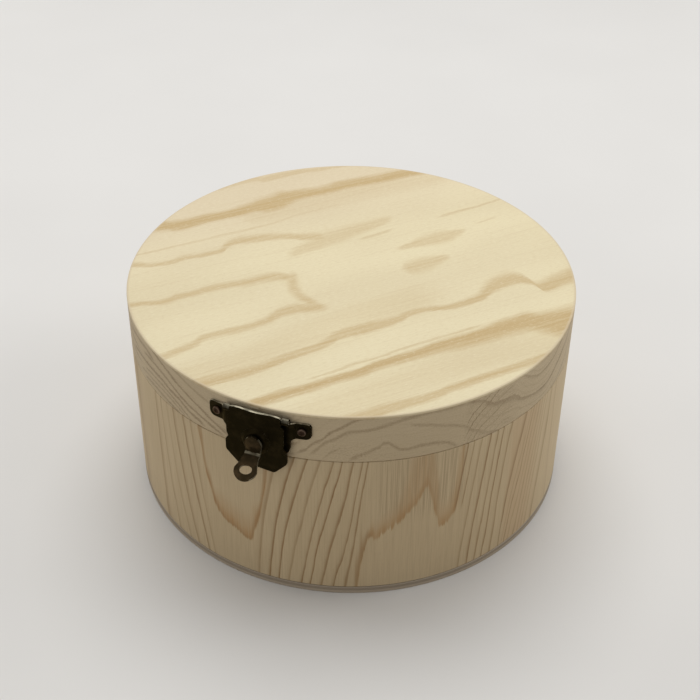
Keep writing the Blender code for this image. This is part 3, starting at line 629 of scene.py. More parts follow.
# (s, height) of the nested cathedrals at the left and at the back right, with their spacing
LEFT_ARCH = [
    (-190, -60), (-176, 0), (-163, 38), (-150, 57), (-141, 57), (-128, 34), (-112, -10), (-100, -60),
]
RIGHT_ARCH = [(168, 130), (180, 70), (193, 30), (204, 12), (214, 14), (226, 42), (240, 86), (250, 130)]
ARCH_SPACING = 11.0
ARCH_FIRST = 20  # ring number at the peak
ARCH_END = 8
ARCH_LINE = 0.8

WALL_COLOURS = {
    "pale": (0.66, 0.54, 0.35),
    "deep": (0.58, 0.465, 0.29),
    "silk": (0.56, 0.44, 0.27),
    "streaks": (0.47, 0.365, 0.225),
    "blush": (0.52, 0.34, 0.19),
    "threads": (0.42, 0.32, 0.195),
    "flush": (0.46, 0.28, 0.125),
    "late wood": (0.285, 0.165, 0.066),
    "pores": (0.38, 0.28, 0.16),
    # the dark joint, and painted shade along the wall's foot
    "joint and foot shade": (0.20, 0.14, 0.08),
}


def round_wall(f):
    """The place round the box from the hasp to the right, in millimetres along the outside."""
    return f.maths("ARCTAN2", f.x, f.y * -1) * OUTSIDE


def cathedral(f, s, z, points, comb, heights):
    """The lower line of a figure in the grain and the flush above it."""
    low, high = points[0][0], points[-1][0]
    slope = f.curve(s + SLOPE_HALF, points) - f.curve(s - SLOPE_HALF, points)
    rise = z - f.curve(s, points) + comb
    near = rise / f.maths("SQRT", slope * slope * SLOPE_THINNING + 1)
    body = f.step(rise, *FLUSH_FADE) * (1 - FAINT_FLUSH) + FAINT_FLUSH
    flush = f.step(rise, *FLUSH_START) * body * f.step(rise / f.curve(s, heights), *FLUSH_TOP)
    flush = f.most(flush, f.between(near, *FIGURE_GLOW) * GLOW_DEPTH)
    here = f.between(s, low, low + FIGURE_END, high - FIGURE_END, high)
    return f.between(near, *FIGURE_LINE) * here, flush * here


def nested(f, s, z, points):
    """Cathedrals one inside the other, and where they are."""
    low, high = points[0][0], points[-1][0]
    here = f.between(s, low, low + ARCH_END, high - ARCH_END, high)
    return f.late_wood((z - f.curve(s, points)) / ARCH_SPACING + ARCH_FIRST) * here, here


def pine_wall():
    f = Finish("pine_wall")
    s, z = round_wall(f), f.z
    slow = f.sway(f.place, (0.05, 0.05, 0.03), 1)
    waves = f.sway(f.place, (0.25, 0.25, 0.07), 1)
    jitter = f.sway(f.place, (0.9, 0.9, 0.12), 1)
    comb = f.sway(f.place, (1.3, 1.3, 0.035), 2, 0.75)
    patchy = f.noise(f.place, (0.3, 0.3, 0.06)) * 0.7 + 0.65
    broad = f.noise(f.place, (0.06, 0.06, 0.02), 1)
    silk = f.noise(f.place, (0.7, 0.7, 0.02), 1)
    streaks = f.noise(f.place, (2.2, 2.2, 0.05), 2, 0.6)
    fine = f.noise(f.place, (3, 3, 0.03), 1)
    pores = f.noise(f.place, (3.2, 3.2, 0.35), 1)

    drop = (WALL_TOP - z) / WALL_RUN
    lean = f.curve(s, WALL_LEAN)
    bow = lean * (1 - drop) * LEAN_BOW + 1
    moved = s + lean * drop * bow + slow * 2.0 * drop + waves * 0.6 + jitter * 0.4
    lines = f.late_wood(f.curve(moved, WALL_RINGS)) * f.curve(s, WALL_STRENGTH)
    v_line, v_flush = cathedral(f, s + waves * 0.9, z, V_FIGURE, comb * V_COMB, V_FLUSH)
    w_line, w_flush = cathedral(f, s + waves * 0.9, z, W_FIGURE, comb * W_COMB, W_FLUSH)
    left, left_here = nested(f, s + waves, z + slow * 8, LEFT_ARCH)
    right, right_here = nested(f, s + waves, z + slow * 8, RIGHT_ARCH)
    foot = f.step(z, *W_FOOT_HEIGHT) * f.between(moved, *W_FOOT)
    clear = (1 - left_here) * (1 - right_here) * (1 - foot)
    w_dark = f.step(s, *W_LIMB) * W_LIMB_LINE + W_LINE
    figures = f.most(v_line * V_LINE, w_line * w_dark) * patchy
    marks = f.most(figures, lines * patchy * clear, left * ARCH_LINE, right * ARCH_LINE)
    flush = f.most(v_flush * V_RED, w_flush * W_RED) * (f.step(comb, -0.2, 0.2) * 0.7 + 0.55)
    threads = f.step(fine, 0.46, 0.58) * f.between(s, *W_THREADS) * f.step(z, *W_THREADS_HEIGHT)
    joint = f.step(f.maths("ABSOLUTE", s), *JOINT)

    colours = WALL_COLOURS
    colour = f.laid(
        f.mix(broad, colours["pale"], colours["deep"]),
        (f.step(silk, 0.3, 0.75) * 0.3, colours["silk"]),
        (f.step(streaks, 0.35, 0.75) * 0.4, colours["streaks"]),
        (f.between(s, *BLUSH) * 0.3, colours["blush"]),
        (threads * 0.7, colours["threads"]),
        (flush, colours["flush"]),
        (marks * 0.95, colours["late wood"]),
        (f.step(pores, 0.62, 0.75) * 0.14, colours["pores"]),
        # the dark joint at the back, and painted shade along the wall's foot
        (f.most(joint * 0.6, f.step(z, *FOOT_SHADE) * 0.75), colours["joint and foot shade"]),
    )
    height = streaks * 0.5 + pores * 0.4 - marks * 0.4 - joint
    return f.surface(colour, 0.62 - marks * 0.08 + streaks * 0.1, height, WOOD_RELIEF)


# Grain of the lid's band. Ring numbers at its lower and upper edges, as (s, ring).
BAND_LOW, BAND_HIGH = 68.3, 87.8
BAND_RINGS_LOW = [
    (-283, 4), (-240, 1), (-190, 3), (-150, 0.5), (-110, 2.5), (-85, 4.2), (-70, 4.65), (-60, 4.1),
    (-50, 4.3), (-45, 4.5), (-40, 4.6), (-35, 5.2), (-30, 5.9), (-25, 6.9), (-20, 7.5), (-15, 8.2),
    (-8, 8.6), (10, 8.4), (19, 7.6), (24, 7), (30, 5.1), (34, 4.6), (40, 3.95), (44, 3.5), (47.2, 3.1),
    (49.5, 3.6), (51.4, 4.1), (54.4, 4.4), (62, 4.25), (66, 4.4), (74.5, 5), (93.6, 6), (104, 6.1),
    (116, 6.25), (126, 5.9), (139, 5.3), (160, 4), (200, 6), (240, 3), (283, 5),
]
BAND_RINGS_HIGH = [
    (-283, 9), (-240, 8), (-190, 11), (-150, 8), (-110, 8), (-85, 8.2), (-70, 8.55), (-60, 8.75),
    (-50, 9), (-45, 9.4), (-40, 9.85), (-35, 10.1), (-30, 10.5), (-25, 10.8), (-20, 11.05),
    (-15, 11.3), (-8, 11.2), (10, 10.4), (19, 9.7), (30, 8.6), (34, 8.05), (40, 7.8), (47.2, 7.6),
    (51.4, 7.2), (60, 7), (75, 6.9), (90, 7.35), (95, 7.38), (99, 7.42), (101.5, 7.58), (105, 8),
    (110, 8.3), (117, 8.5), (129, 8), (134, 7.7), (139, 7.4), (160, 6.5), (200, 10), (240, 7), (283, 9),
]
RING_FUZZ = 0.065
# The power and the gain that sharpen their lines
RING_POWER, RING_GAIN = 1.6, 1.15
# The fainter ones between them: how many to a ring, where they start and how dark they are
FINE_RINGS, FINE_START, FINE_DEPTH = 3, 0.4, 0.5
# The lines that cross them at the right
CROSSING_LOW = [(76, 2.8), (79, 1.3), (82, 0), (85, -1), (90, -1.3), (95, -1.9), (100, -1.7)]
CROSSING_HIGH = [(76, 6.8), (79, 5.4), (82, 4.9), (85, 4.4), (90, 3), (95, 2.4), (100, 2)]
CROSSING = (76, 79, 96, 102)
CROSSING_DEPTH = 1.5
BAND_STRENGTH = [
    (-283, 0.9), (-90, 1.1), (-62, 1.35), (-40, 1.3), (-20, 1), (0, 0.8), (25, 0.95), (78, 0.85),
    (90, 0.65), (110, 0.7), (125, 0.9), (283, 0.9),
]
# Where lone lines take the place of most of the rings, as (start, full, still full, end)
LONE_LEFT, LONE_RIGHT = (-74, -64, -18, -12), (12, 17, 75, 80)
LONE_SHARE = 0.88
LONE_END = 3  # run of the fade at a lone line's end
LONE_EDGE = (2.3, 0)  # over its half width
# Broad lone lines at both sides of the hasp: (places (s, z), half width, strength)
BAND_LINES = [
    ([(-82, 82.5), (-74, 84), (-68, 85), (-62, 85.4), (-57, 84.7), (-52, 83.2)], 0.6, 0.75),
    ([(-76, 76.5), (-68, 78), (-62, 78.4), (-55, 78.6), (-50, 78.5), (-45, 77.5), (-42, 76.5), (-38, 75.5),
      (-35, 74.2), (-31, 72.3), (-27, 71), (-23, 69)], 0.52, 0.92),
    ([(-68, 71.6), (-60, 73), (-52, 73.2), (-47, 72.9), (-42, 72), (-37, 70.2), (-33, 67.5)], 0.42, 0.62),
    ([(-64, 69.8), (-55, 71.1), (-50, 70.7), (-45, 70), (-40, 68.9), (-36, 67.5)], 0.5, 0.85),
    ([(-63, 75), (-53, 76), (-50, 75.8), (-45, 75), (-42, 74), (-38, 72.7), (-34, 70.6),
      (-30, 68)], 0.42, 0.75),
    ([(-63, 82.3), (-55, 82.8), (-50, 82.4), (-45, 81.4), (-40, 79), (-37, 77.6), (-33, 75.9), (-30, 75),
      (-25, 73.2), (-20, 71.2), (-14, 69)], 0.52, 0.9),
    ([(-57, 89), (-53, 88.2), (-49, 87), (-45, 85.6), (-40, 83.5), (-35, 81.5), (-30, 79.2), (-25, 77),
      (-20, 74.3), (-12, 70)], 0.52, 0.9),
    ([(-46, 89.6), (-42, 88.9), (-38, 88), (-34, 86.5), (-30, 85), (-26, 83.5), (-20, 82)], 0.5, 0.55),
    ([(13, 70), (15, 71.5), (17.5, 73), (19, 75), (21, 76.8), (23, 78), (25, 80.2), (27, 82), (29, 83.4),
      (31, 84.7), (33, 86.2), (35, 87.6), (37, 88.5), (40, 89.8)], 0.55, 0.78),
    ([(18, 69.5), (19.5, 71.5), (22, 74), (24, 76.5), (26, 78), (28, 79), (30, 80.4), (32, 81.8), (34, 82.4),
      (38, 82.8), (41, 83.4), (44, 84.2), (48, 85.3), (52, 86.7), (56, 87.5), (61, 88.1), (66, 88.3),
      (78, 88.1)], 0.62, 0.62),
    ([(54, 84), (58, 83.2), (62, 82.5), (66, 81.2), (70, 80), (74, 78.3), (76.5, 77), (80, 74)], 0.6, 0.48),
    ([(32, 68), (35, 70.5), (38, 72), (41, 73.5), (44, 75.2), (46.5, 76.7), (48, 76), (50, 74.3), (54, 72.7),
      (58, 73.3), (62, 73.4), (66, 73), (70, 71.8), (72, 70.5), (75, 67.5)], 0.62, 0.6),
    ([(22, 67), (23.5, 69), (25, 71), (27, 73), (31, 75)], 0.4, 0.42),
]
# Where saw marks make the band rougher
ROUGH_MIDDLE, ROUGH_MIDDLE_HEIGHT = (22, 29, 38, 52), (80, 74)
ROUGH_LEFT, ROUGH_LEFT_HEIGHT = (-30, -38), (84, 76)
ROUGH_RIGHT = (70, 80)

BAND_COLOURS = {
    "pale": (0.635, 0.53, 0.36),
    "deep": (0.565, 0.465, 0.305),
    "fibres": (0.46, 0.365, 0.235),
    "dark flecks": (0.385, 0.295, 0.18),
    "light flecks": (0.70, 0.60, 0.43),
    "late wood": (0.31, 0.225, 0.13),
}


def pine_band():
    f = Finish("pine_band")
    s, z = round_wall(f), f.z
    flat = f.point(s, z, 0.0)
    slow = f.sway(flat, (0.05, 0.3, 1))
    fuzz = f.sway(flat, (0.6, 1.4, 1), 2, 0.6)
    patchy = f.noise(flat, (0.08, 0.2, 1), 1) * 0.7 + 0.6
    broad = f.noise(flat, (0.03, 0.06, 1), 1)
    fibres = f.noise(flat, (0.12, 2.6, 1), 3, 0.6)
    flecks = f.noise(flat, (1.4, 2.2, 1), 2, 0.7)
    up = (z - BAND_LOW) / (BAND_HIGH - BAND_LOW)

    def rings(low, high, bend):
        """Growth rings between two tables of ring numbers, with fainter ones in each."""
        below, above = f.curve(s, low), f.curve(s, high)
        ring = below + (above - below) * (up + fuzz * RING_FUZZ) + slow * bend
        sharp = f.maths("POWER", f.late_wood(ring), RING_POWER) * RING_GAIN
        return f.most(sharp, f.late_wood(ring * FINE_RINGS + FINE_START) * FINE_DEPTH)

    lone = f.most(f.between(s, *LONE_RIGHT), f.between(s, *LONE_LEFT))
    main = rings(BAND_RINGS_LOW, BAND_RINGS_HIGH, 0.3) * (1 - lone * LONE_SHARE)
    crossing = rings(CROSSING_LOW, CROSSING_HIGH, 0.2) * f.between(s, *CROSSING)
    lines = f.most(main, crossing * CROSSING_DEPTH) * patchy * f.curve(s, BAND_STRENGTH)
    wandering = z + slow * 1.2 + fuzz * 1.7
    for points, half, strength in BAND_LINES:
        first, last = points[0][0], points[-1][0]
        off = f.maths("ABSOLUTE", wandering - f.curve(s, points)) / half
        ends = f.between(s, first, first + LONE_END, last - LONE_END, last)
        lines = f.most(lines, f.step(off, *LONE_EDGE) * ends * (patchy * 0.5 + 0.5) * strength)
    lines = lines * (f.step(flecks, 0.3, 0.65) * 0.5 + 0.65)
    rough = f.most(
        f.between(s, *ROUGH_MIDDLE) * f.step(z, *ROUGH_MIDDLE_HEIGHT),
        f.step(s, *ROUGH_RIGHT) * 0.9,
        f.step(s, *ROUGH_LEFT) * f.step(z, *ROUGH_LEFT_HEIGHT) * 0.8)

    colours = BAND_COLOURS
    colour = f.laid(
        f.mix(broad, colours["pale"], colours["deep"]),
        (f.step(fibres, 0.4, 0.75) * 0.38, colours["fibres"]),
        (f.step(flecks, 0.5, 0.76) * (rough * 0.4 + 0.36), colours["dark flecks"]),
        (f.step(flecks, 0.48, 0.26) * (rough * 0.3 + 0.2), colours["light flecks"]),
        (lines * 0.95, colours["late wood"]),
    )
    height = fibres * 0.5 + flecks * 0.5 - lines * 0.3
    return f.surface(colour, 0.66 - lines * 0.08, height, WOOD_RELIEF)


# Bands of the top veneer. The grain runs this many degrees round from +X.
TOP_GRAIN = 47.0
# name: (places (x, y, half width) along the band, depth of colour,
#        its sharper side: 1 nearer, -1 farther, 0 none)
TOP_BANDS = {
    "far_edge": ([
        (-76, 47, 2), (-70, 54, 2.2), (-65, 57, 2.6), (-60, 62, 2.4), (-55, 67, 2), (-45, 75, 1.5),
    ], 0.5, 0),
    "far": ([
        (-90, 3, 4.4), (-87, 5, 4.4), (-80, 9, 3.9), (-75, 15, 3.6), (-70, 20, 3.6), (-64, 26, 3.8),
        (-59, 32, 4.4), (-54, 37, 6), (-50, 43, 6.2), (-47, 48, 4.8), (-42, 53, 4.1), (-35, 59, 4),
        (-30, 65, 4.2), (-24, 71, 4.2), (-17, 77, 4), (-10, 84, 3.8), (-3, 90, 3.6),
    ], 1.0, 0),
    "far_flush": ([(-60, 20, 4), (-45, 36, 6), (-30, 52, 6), (-12, 70, 6), (4, 86, 5)], 0.22, -1),
    "left": ([
        (-88, -29, 2), (-82, -26, 2), (-77, -24, 1.8), (-72, -20, 1.8), (-68, -15, 1.8),
        (-62, -10, 1.8), (-57, -5, 1.8), (-56, 0, 2), (-53, 5, 2.8), (-48, 9, 3.2), (-42, 13, 3),
        (-37, 16, 2.7), (-31, 18, 2.8), (-26, 20, 3.2), (-18, 24, 3),
    ], 0.6, 1),
    "left_fold": ([
        (-29, 2, 1.6), (-26, 9, 3), (-22, 15, 4.4), (-19, 21, 5.2), (-15, 26, 5), (-11, 32, 4.5),
        (-5, 40, 3.4), (0, 48, 2),
    ], 0.4, 1),
    "nose_far": ([
        (-74, -54, 1.8), (-68, -50, 1.8), (-64, -48, 1.8), (-60, -45, 1.9), (-57, -40, 2),
        (-53, -36, 2), (-48, -30, 2.3), (-42, -25, 2.5), (-37, -21, 2.8), (-32, -16, 3),
        (-28, -13, 3.2), (-24, -11.5, 2.8), (-20, -9.5, 2),
    ], 0.65, 0),
    "nose_near": ([
        (-48, -82, 2), (-45, -78, 2), (-43, -75, 2), (-40, -70, 2), (-37, -65, 2), (-35, -60, 2),
        (-30, -55, 2.1), (-24, -49, 2.2), (-19, -43, 2.4), (-17, -38, 2.6), (-14, -33, 3),
        (-7, -28, 3.2), (0, -24, 2),
    ], 0.65, 0),
    "middle": ([
        (-26, -88, 3.6), (-23, -85, 3.6), (-17, -79, 3.2), (-11, -73, 2.8), (-5, -65, 2.5),
        (0, -58, 2.4), (5, -52, 2.4), (9, -45, 2.6), (13, -38, 3.4), (18, -33, 3.8), (23, -28, 3.2),
        (28, -22, 2.5), (32, -15, 2.1), (38, -10, 1.8), (42, -8, 1.8), (47, -4, 2), (52, 2, 2.4),
        (54, 8, 3), (56, 14, 3.8), (60, 20, 4.4), (65, 23, 4.6), (70, 22, 4), (74, 20, 3.8),
        (78, 26, 4.2), (84, 34, 4.8),
    ], 0.75, 1),
    "middle_flush": ([
        (-38, -92, 6), (-20, -74, 8), (-10, -60, 9), (-3, -50, 10), (4, -40, 10), (11, -30, 10),
        (20, -18, 9), (28, -8, 9), (40, 6, 9),
    ], 0.21, -1),
    "near": ([
        (-4, -92, 2.6), (0, -87, 2.6), (6, -80, 2.6), (13, -73, 2.6), (19, -66, 2.6), (25, -60, 2.6),
        (30, -53, 2.7), (36, -46, 2.9), (42, -40, 3.1), (48, -33, 3.5), (53, -28, 3.9), (59, -22, 4.3),
        (64, -16, 4.8), (68, -11, 5.4), (72, -7, 5.8), (77, -4, 8), (84, -2, 9.5), (90, 2, 10.5),
    ], 1, -1),
    "near_flush": ([
        (12, -98, 7), (25, -80, 8), (40, -62, 9), (55, -44, 9), (70, -28, 9), (88, -10, 8),
    ], 0.2, 0),
    "near_edge": ([
        (35, -83, 3.4), (38, -80, 3.4), (43, -74, 3), (49, -68, 2.6), (55, -62, 2.3), (60, -55, 2.1),
        (66, -48, 2.1), (73, -40, 2.1), (79, -33, 2.2), (85, -26, 2.3), (88, -22, 2.3),
    ], 0.75, 0),
    "spot": ([
        (10, 24, 0.6), (15, 30, 2.2), (19, 35, 3.9), (24, 40, 4.8), (29, 46, 2.6), (33, 51, 0.6),
    ], 0.5, 0),
    "small_spot": ([(18, 10, 0.6), (20, 13, 4.2), (23, 17, 5), (28, 23, 3.4), (33, 29, 0.8)], 0.5, 0),
    "near_hair": ([(10, -70, 0.5), (28, -49, 0.6), (46, -28, 0.6), (60, -13, 0.6)], 0.45, 0),
    "right_hair": ([(70, -5, 0.6), (80, 1, 1.1), (90, 9, 1.1)], 0.6, 0),
    "left_hair": ([(-83, -16, 0.8), (-66, 2, 0.9), (-49, 20, 0.9), (-36, 38, 0.9), (-24, 51, 0.7)], 0.3, 0),
    "back_hair": ([(18, 55, 0.7), (25, 64, 0.9), (32, 72, 0.8), (38, 80, 0.6)], 0.45, 0),
    "small_hair": ([(34, 56, 0.6), (38, 61, 0.7), (42, 66, 0.6)], 0.35, 0),
    "middle_hair": ([(-7, 25, 0.6), (-1, 33, 0.9), (4, 40, 0.6)], 0.4, 0),
    "far_hair": ([(-8, 38, 0.6), (-4, 43, 0.8), (1, 49, 0.6)], 0.4, 0),
}
BAND_REACH = 1.5  # where a band ends, over its half width
BAND_SHARPER = 0.3  # by how much its sharper side ends sooner
BAND_FULL = (0.9, 0.4)  # it is full up to the first of these less the second times its reach
TIP_OUT = 1  # how far the fade at a band's tip starts outside it
TIP_RUN, TIP_RUN_HALVES = 4, 2  # and how far in it runs, at least and over the half width there
# The blunt end where the two nose bands meet
TOP_NOSE = [(-22, -9), (-19.5, -14), (-15.5, -19.5), (-11, -22.5), (-6, -25), (-5, -29)]
NOSE_REACH = (-4.5, -0.5, 0, 3.5)
NOSE_ACROSS = (-19, -13, 8, 13)
NOSE_DEPTH = 0.6
RIM_NEAR = 82.0  # from the middle, from where a band runs on over the rim
PLY_FACE = 88.2  # the face veneer's lower side, over the table
FAR_SHADE = (20, 80)  # across the grain, where painted shade darkens the top towards its far side, with a redder tone
# Where the rim's edge gets painted shade, from the middle and over the table, and where the underside's look
# starts
TOP_RIM_SHADE, TOP_RIM_SHADE_HEIGHT = (OUTSIDE - 1.2, OUTSIDE - 0.5), (PLY_FACE + 0.2, PLY_FACE + 0.6)
TOP_UNDERSIDE = (PLY_FACE + 0.3, PLY_FACE)

TOP_COLOURS = {
    "pale": (0.80, 0.705, 0.465),
    "deep": (0.745, 0.645, 0.42),
    "far shade": (0.70, 0.575, 0.405),
    "hair": (0.65, 0.52, 0.31),
    "late wood": (0.56, 0.405, 0.19),
    "light flecks": (0.87, 0.80, 0.59),
    "dark flecks": (0.61, 0.49, 0.29),
    "rim": (0.66, 0.545, 0.37),
    "under": (0.66, 0.545, 0.37),
    "under hair": (0.56, 0.445, 0.28),
    "under flecks": (0.46, 0.355, 0.215),
}


def along_grain(x, y, degrees):
    """A place on a flat face along and across its grain."""
    c, s = math.cos(math.radians(degrees)), math.sin(math.radians(degrees))
    return x * c + y * s, y * c - x * s


def from_middle(f):
    """How far a place is from the box's axis."""
    return f.maths("SQRT", f.x * f.x + f.y * f.y)


def veneer_bands(f, u, v, feather):
    """How much late wood shows at each place of the top veneer."""
    tan = 0.0
    full, less = BAND_FULL
    for places, depth, sharper in TOP_BANDS.values():
        points = [(*along_grain(x, y, TOP_GRAIN), half) for x, y, half in places]
        middle, half = (f.curve(u, [(p[0], p[k]) for p in points]) for k in (1, 2))
        off = (v - middle) / half
        farther, nearer = BAND_REACH + BAND_SHARPER * sharper, BAND_REACH - BAND_SHARPER * sharper
        across = f.between(off, -nearer, less * nearer - full, full - less * farther, farther)
        for (x, y, width), inward in ((places[0], 1), (places[-1], -1)):
            if math.hypot(x, y) < RIM_NEAR:
                tip = along_grain(x, y, TOP_GRAIN)[0]
                run = max(TIP_RUN, width * TIP_RUN_HALVES)
                across = across * f.step(u, tip - inward * TIP_OUT, tip + inward * run)
        tan = f.most(across * depth, tan)
    nose = sorted(tuple(reversed(along_grain(*place, TOP_GRAIN))) for place in TOP_NOSE)
    reach = u - f.curve(v + feather * 2, nose)
    blunt = f.between(reach, *NOSE_REACH) * f.between(v, *NOSE_ACROSS)
    return f.most(tan, blunt * NOSE_DEPTH)


def pine_top():
    f = Finish("pine_top")
    u, v = along_grain(f.x, f.y, TOP_GRAIN)
    flat = f.point(u, v, 0.0)
    warp = f.sway(flat, (0.05, 0.12, 1))
    feather = f.sway(flat, (0.10, 0.9, 1), 3, 0.65)
    broad = f.noise(flat, (0.012, 0.03, 1), 1)
    hair = f.noise(flat, (0.018, 0.75, 1), 3, 0.6)
    flecks = f.noise(flat, (0.45, 1.7, 1), 3, 0.75)
    fine = f.noise(flat, (0.6, 5.0, 1), 1)
    tan = veneer_bands(f, u, v + warp * 1.6 + feather * 2.4, feather)
    tan = tan * (f.step(hair, 0.25, 0.75) * 0.5 + 0.75)
    rim_shade = f.step(from_middle(f), *TOP_RIM_SHADE) * f.step(f.z, *TOP_RIM_SHADE_HEIGHT)

    colours = TOP_COLOURS
    under = f.laid(
        f.mix(f.step(hair, 0.35, 0.65), colours["under"], colours["under hair"]),
        (f.step(flecks, 0.5, 0.75) * 0.35, colours["under flecks"]),
    )
    colour = f.laid(
        f.mix(f.step(broad, 0.3, 0.7), colours["pale"], colours["deep"]),
        # painted shade towards the top's far side, with a redder tone
        (f.step(v, *FAR_SHADE) * 0.6, colours["far shade"]),
        (f.step(hair, 0.50, 0.75) * 0.3, colours["hair"]),
        (tan * 0.95, colours["late wood"]),
        (f.step(flecks, 0.5, 0.74) * 0.4, colours["light flecks"]),
        (f.step(flecks, 0.5, 0.28) * 0.34, colours["dark flecks"]),
        # painted shade on the rim's rounded edge
        (rim_shade * 0.65, colours["rim"]),
        (f.step(f.z, *TOP_UNDERSIDE), under),
    )
    height = flecks * 0.6 + fine * 0.3 - tan * 0.3
    return f.surface(colour, 0.58 + flecks * 0.1, height, WOOD_RELIEF)


BASE_GRAIN = 20
BASE_CORE = (1.4, 1.7, 2.9, 3.1)  # heights of the ply's dark core at its edge
BASE_EDGE = (OUTSIDE - 1, OUTSIDE - 0.5)
BASE_COLOURS = {
    "pale": (0.67, 0.545, 0.365),
    "hair": (0.56, 0.43, 0.265),
    "flecks": (0.44, 0.33, 0.20),
    "edge": (0.42, 0.36, 0.285),
    "core": (0.27, 0.22, 0.165),
}


def pine_base():
    f = Finish("pine_base")
    flat = f.point(*along_grain(f.x, f.y, BASE_GRAIN), 0.0)
    hair = f.noise(flat, (0.02, 0.6, 1), 3, 0.6)
    flecks = f.noise(flat, (0.3, 2.4, 1), 2, 0.7)
    fibres = f.noise(f.place, (0.5, 0.5, 4.0), 3, 0.7)
    core = f.between(f.z, *BASE_CORE)
    colours = BASE_COLOURS
    colour = f.laid(
        f.mix(f.step(hair, 0.35, 0.7), colours["pale"], colours["hair"]),
        (f.step(flecks, 0.5, 0.8) * 0.25, colours["flecks"]),
        (f.step(from_middle(f), *BASE_EDGE) * 0.85, colours["edge"]),
        (core * (fibres * 0.6 + 0.5), colours["core"]),
    )
    return f.surface(colour, 0.68, flecks + fibres * core, WOOD_RELIEF)


# Plating of the metal: (dark, brown, bright, share of its edge wear and painted highlights, share of the
# painted highlight on the tongue's bend)
PLATINGS = {
    "black_bronze": ((0.0085, 0.0062, 0.0022), (0.0175, 0.0125, 0.005), (0.47, 0.43, 0.32), 0.95, 0),
    "brown_bronze": ((0.030, 0.021, 0.010), (0.058, 0.038, 0.019), (0.42, 0.38, 0.27), 0.85, 0.8),
    "worn_bronze": ((0.06, 0.05, 0.035), (0.10, 0.085, 0.06), (0.55, 0.51, 0.40), 1.0, 0),
    "screw_bronze": ((0.038, 0.022, 0.014), (0.078, 0.043, 0.027), (0.16, 0.115, 0.085), 0.6, 0),
}
# painted shade in the screws' cross recess
RECESS_SHADE = (0.02, 0.012, 0.008)
PLATING_SPECULAR, PLATING_TINT = 0.15, (1.0, 0.86, 0.62)


def bronze(name, dark, brown, bright, edge_wear_and_highlight, bend_highlight_share):
    """Blackened plating, with brown patches, bright metal where its edges are worn, and painted highlights
    where faces are marked for them.
    """
    f = Finish(name)
    # real edge wear and painted highlights, as marked on the pieces
    edge = f.node("Attribute", {"attribute_name": "worn"}, {}, "Fac")
    sunk = f.node("Attribute", {"attribute_name": "sunk"}, {}, "Fac")
    patches = f.noise(f.place, (0.35, 0.35, 0.35), 3, 0.6)
    grit = f.noise(f.place, (2.8, 2.8, 2.8), 2, 0.6)
    wear_and_highlight_noise = f.noise(f.place, (0.5, 0.5, 0.5))
    # painted highlight on the tongue's bend, by height
    bend = f.between(f.z, *TONGUE_BEND) * bend_highlight_share
    # edge wear and painted highlights together, both uneven
    wear_and_highlight = f.most(edge, bend) * (f.step(wear_and_highlight_noise, 0.3, 0.6) * 0.6 + 0.4) * edge_wear_and_highlight
    colour = f.laid(
        f.mix(f.step(patches, 0.4, 0.7), dark, brown),
        (f.step(grit, 0.62, 0.8) * 0.35, brown),
        (wear_and_highlight, bright),
        # painted shade in the cross recess
        (f.step(sunk, 0, 0.8) * 0.4, RECESS_SHADE),
    )
    f.feed(f.shader.inputs["Metallic"], 0.9 - wear_and_highlight * 0.4)
    return f.surface(colour, 0.46 + grit * 0.2 - wear_and_highlight * 0.14, grit + patches, METAL_RELIEF,
                     Specular_IOR_Level=PLATING_SPECULAR, Specular_Tint=PLATING_TINT)


def dress(finishes):
    """Gives every shown piece the finish of its material slot."""
    slots = {part["node"]: part["material_slot"] for part in frame["record"]["subparts"]}
    for piece in list(bpy.data.objects):
        if piece.type != "MESH" or piece.hide_render:
            continue
        slot = piece.get("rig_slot") or slots.get(piece.get("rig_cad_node"))
        if slot:
            piece.data.materials.clear()
            piece.data.materials.append(finishes[slot])


# The room

TABLE_HALF = 4.0  # metres
PALE_TABLE = (0.74, 0.73, 0.71), (0.79, 0.78, 0.76)  # as the camera and reflections see it
WARM_TABLE = (0.42, 0.36, 0.29)  # as the light that it throws on the box
TABLE_ROUGHNESS = 0.9
ROOM_COLOUR, ROOM_STRENGTH = (1.0, 0.98, 0.95, 1), 0.38
LAMP_AIM = (0, 0, 50)
# name: (place, width of its disc, watts)
LAMPS = {
    "overhead": ((-150, 400, 1150), 900, 7.4),
    "left_window": ((-1100, 100, 450), 600, 2.2),
    "right_window": ((900, 500, 450), 600, 3.1),
    "front_fill": ((-200, -1200, 500), 900, 1.6),
}


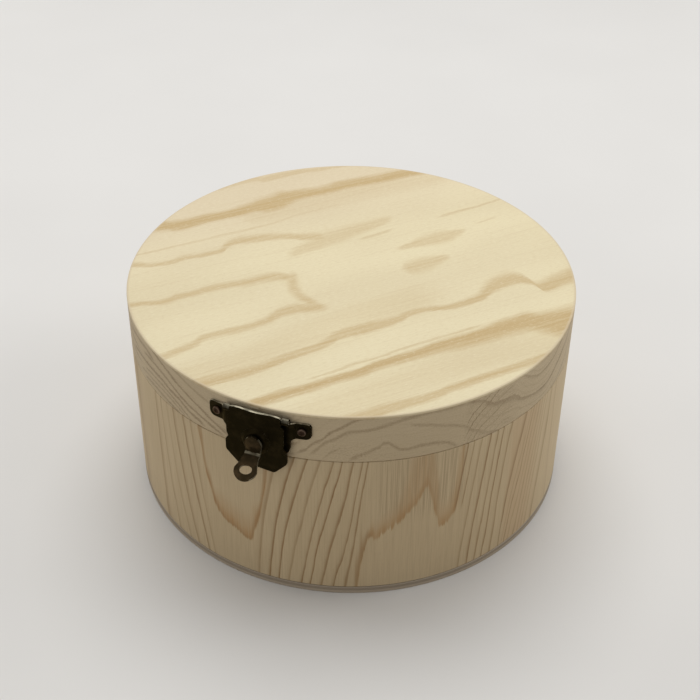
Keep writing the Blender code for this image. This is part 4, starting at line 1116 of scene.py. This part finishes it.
def studio():
    shape = bmesh.new()
    signs = ((-1, -1), (1, -1), (1, 1), (-1, 1))
    shape.faces.new([shape.verts.new((x * TABLE_HALF, y * TABLE_HALF, 0)) for x, y in signs])
    table = bpy.data.objects.new("table", as_mesh("table", shape))
    bpy.context.scene.collection.objects.link(table)
    f = Finish("pale_table")
    cloud = f.noise(f.place, (0.01, 0.01, 0.01))
    seen = f.node("LightPath", {}, {}, "Is Camera Ray")
    mirrored = f.node("LightPath", {}, {}, "Is Glossy Ray")
    colour = f.mix(f.most(seen, mirrored), WARM_TABLE, f.mix(cloud, *PALE_TABLE))
    table.data.materials.append(f.surface(colour, TABLE_ROUGHNESS, cloud, TABLE_RELIEF))

    world = bpy.data.worlds.new("room")
    bpy.context.scene.world = world
    world.use_nodes = True
    background = world.node_tree.nodes["Background"]
    background.inputs["Color"].default_value = ROOM_COLOUR
    background.inputs["Strength"].default_value = ROOM_STRENGTH
    for name, (place, width, power) in LAMPS.items():
        lamp(name, place, width, power)


def lamp(name, place, width, power):
    light = bpy.data.lights.new(name, "AREA")
    light.shape = "DISK"
    light.size = width * MM
    light.energy = power
    thing = bpy.data.objects.new(name, light)
    thing.location = metres(*place)
    aim = metres(*LAMP_AIM) - thing.location
    thing.rotation_euler = aim.to_track_quat("-Z", "Y").to_euler()
    bpy.context.scene.collection.objects.link(thing)


def camera():
    height, roll = math.radians(VIEW_HEIGHT), math.radians(VIEW_ROLL)
    right, back = Vector((1, 0, 0)), Vector((0, -math.cos(height), math.sin(height)))
    up = back.cross(right)
    place = back * VIEW_DISTANCE + right * VIEW_TARGET[0] + up * VIEW_TARGET[1]
    across = right * math.cos(roll) + up * math.sin(roll)
    upward = up * math.cos(roll) - right * math.sin(roll)
    pose = Matrix((across, upward, back)).transposed().to_4x4()
    pose.translation = place * MM
    data = bpy.data.cameras.new("photo_view")
    data.sensor_width = SENSOR
    data.lens = FOCAL_LENGTH
    eye = bpy.data.objects.new("photo_view", data)
    eye.matrix_world = Matrix.Rotation(math.radians(VIEW_TURN), 4, "Z") @ pose
    bpy.context.scene.collection.objects.link(eye)
    bpy.context.scene.camera = eye


wooden_pieces()
metal_pieces()
finishes = {
    "base_ply": pine_base(),
    "wall_wood": pine_wall(),
    "band_wood": pine_band(),
    "top_ply": pine_top(),
}
for plating_name, plating in PLATINGS.items():
    finishes[plating_name] = bronze(plating_name, *plating)
dress(finishes)
studio()
camera()
bpy.context.scene.view_settings.view_transform = "Standard"
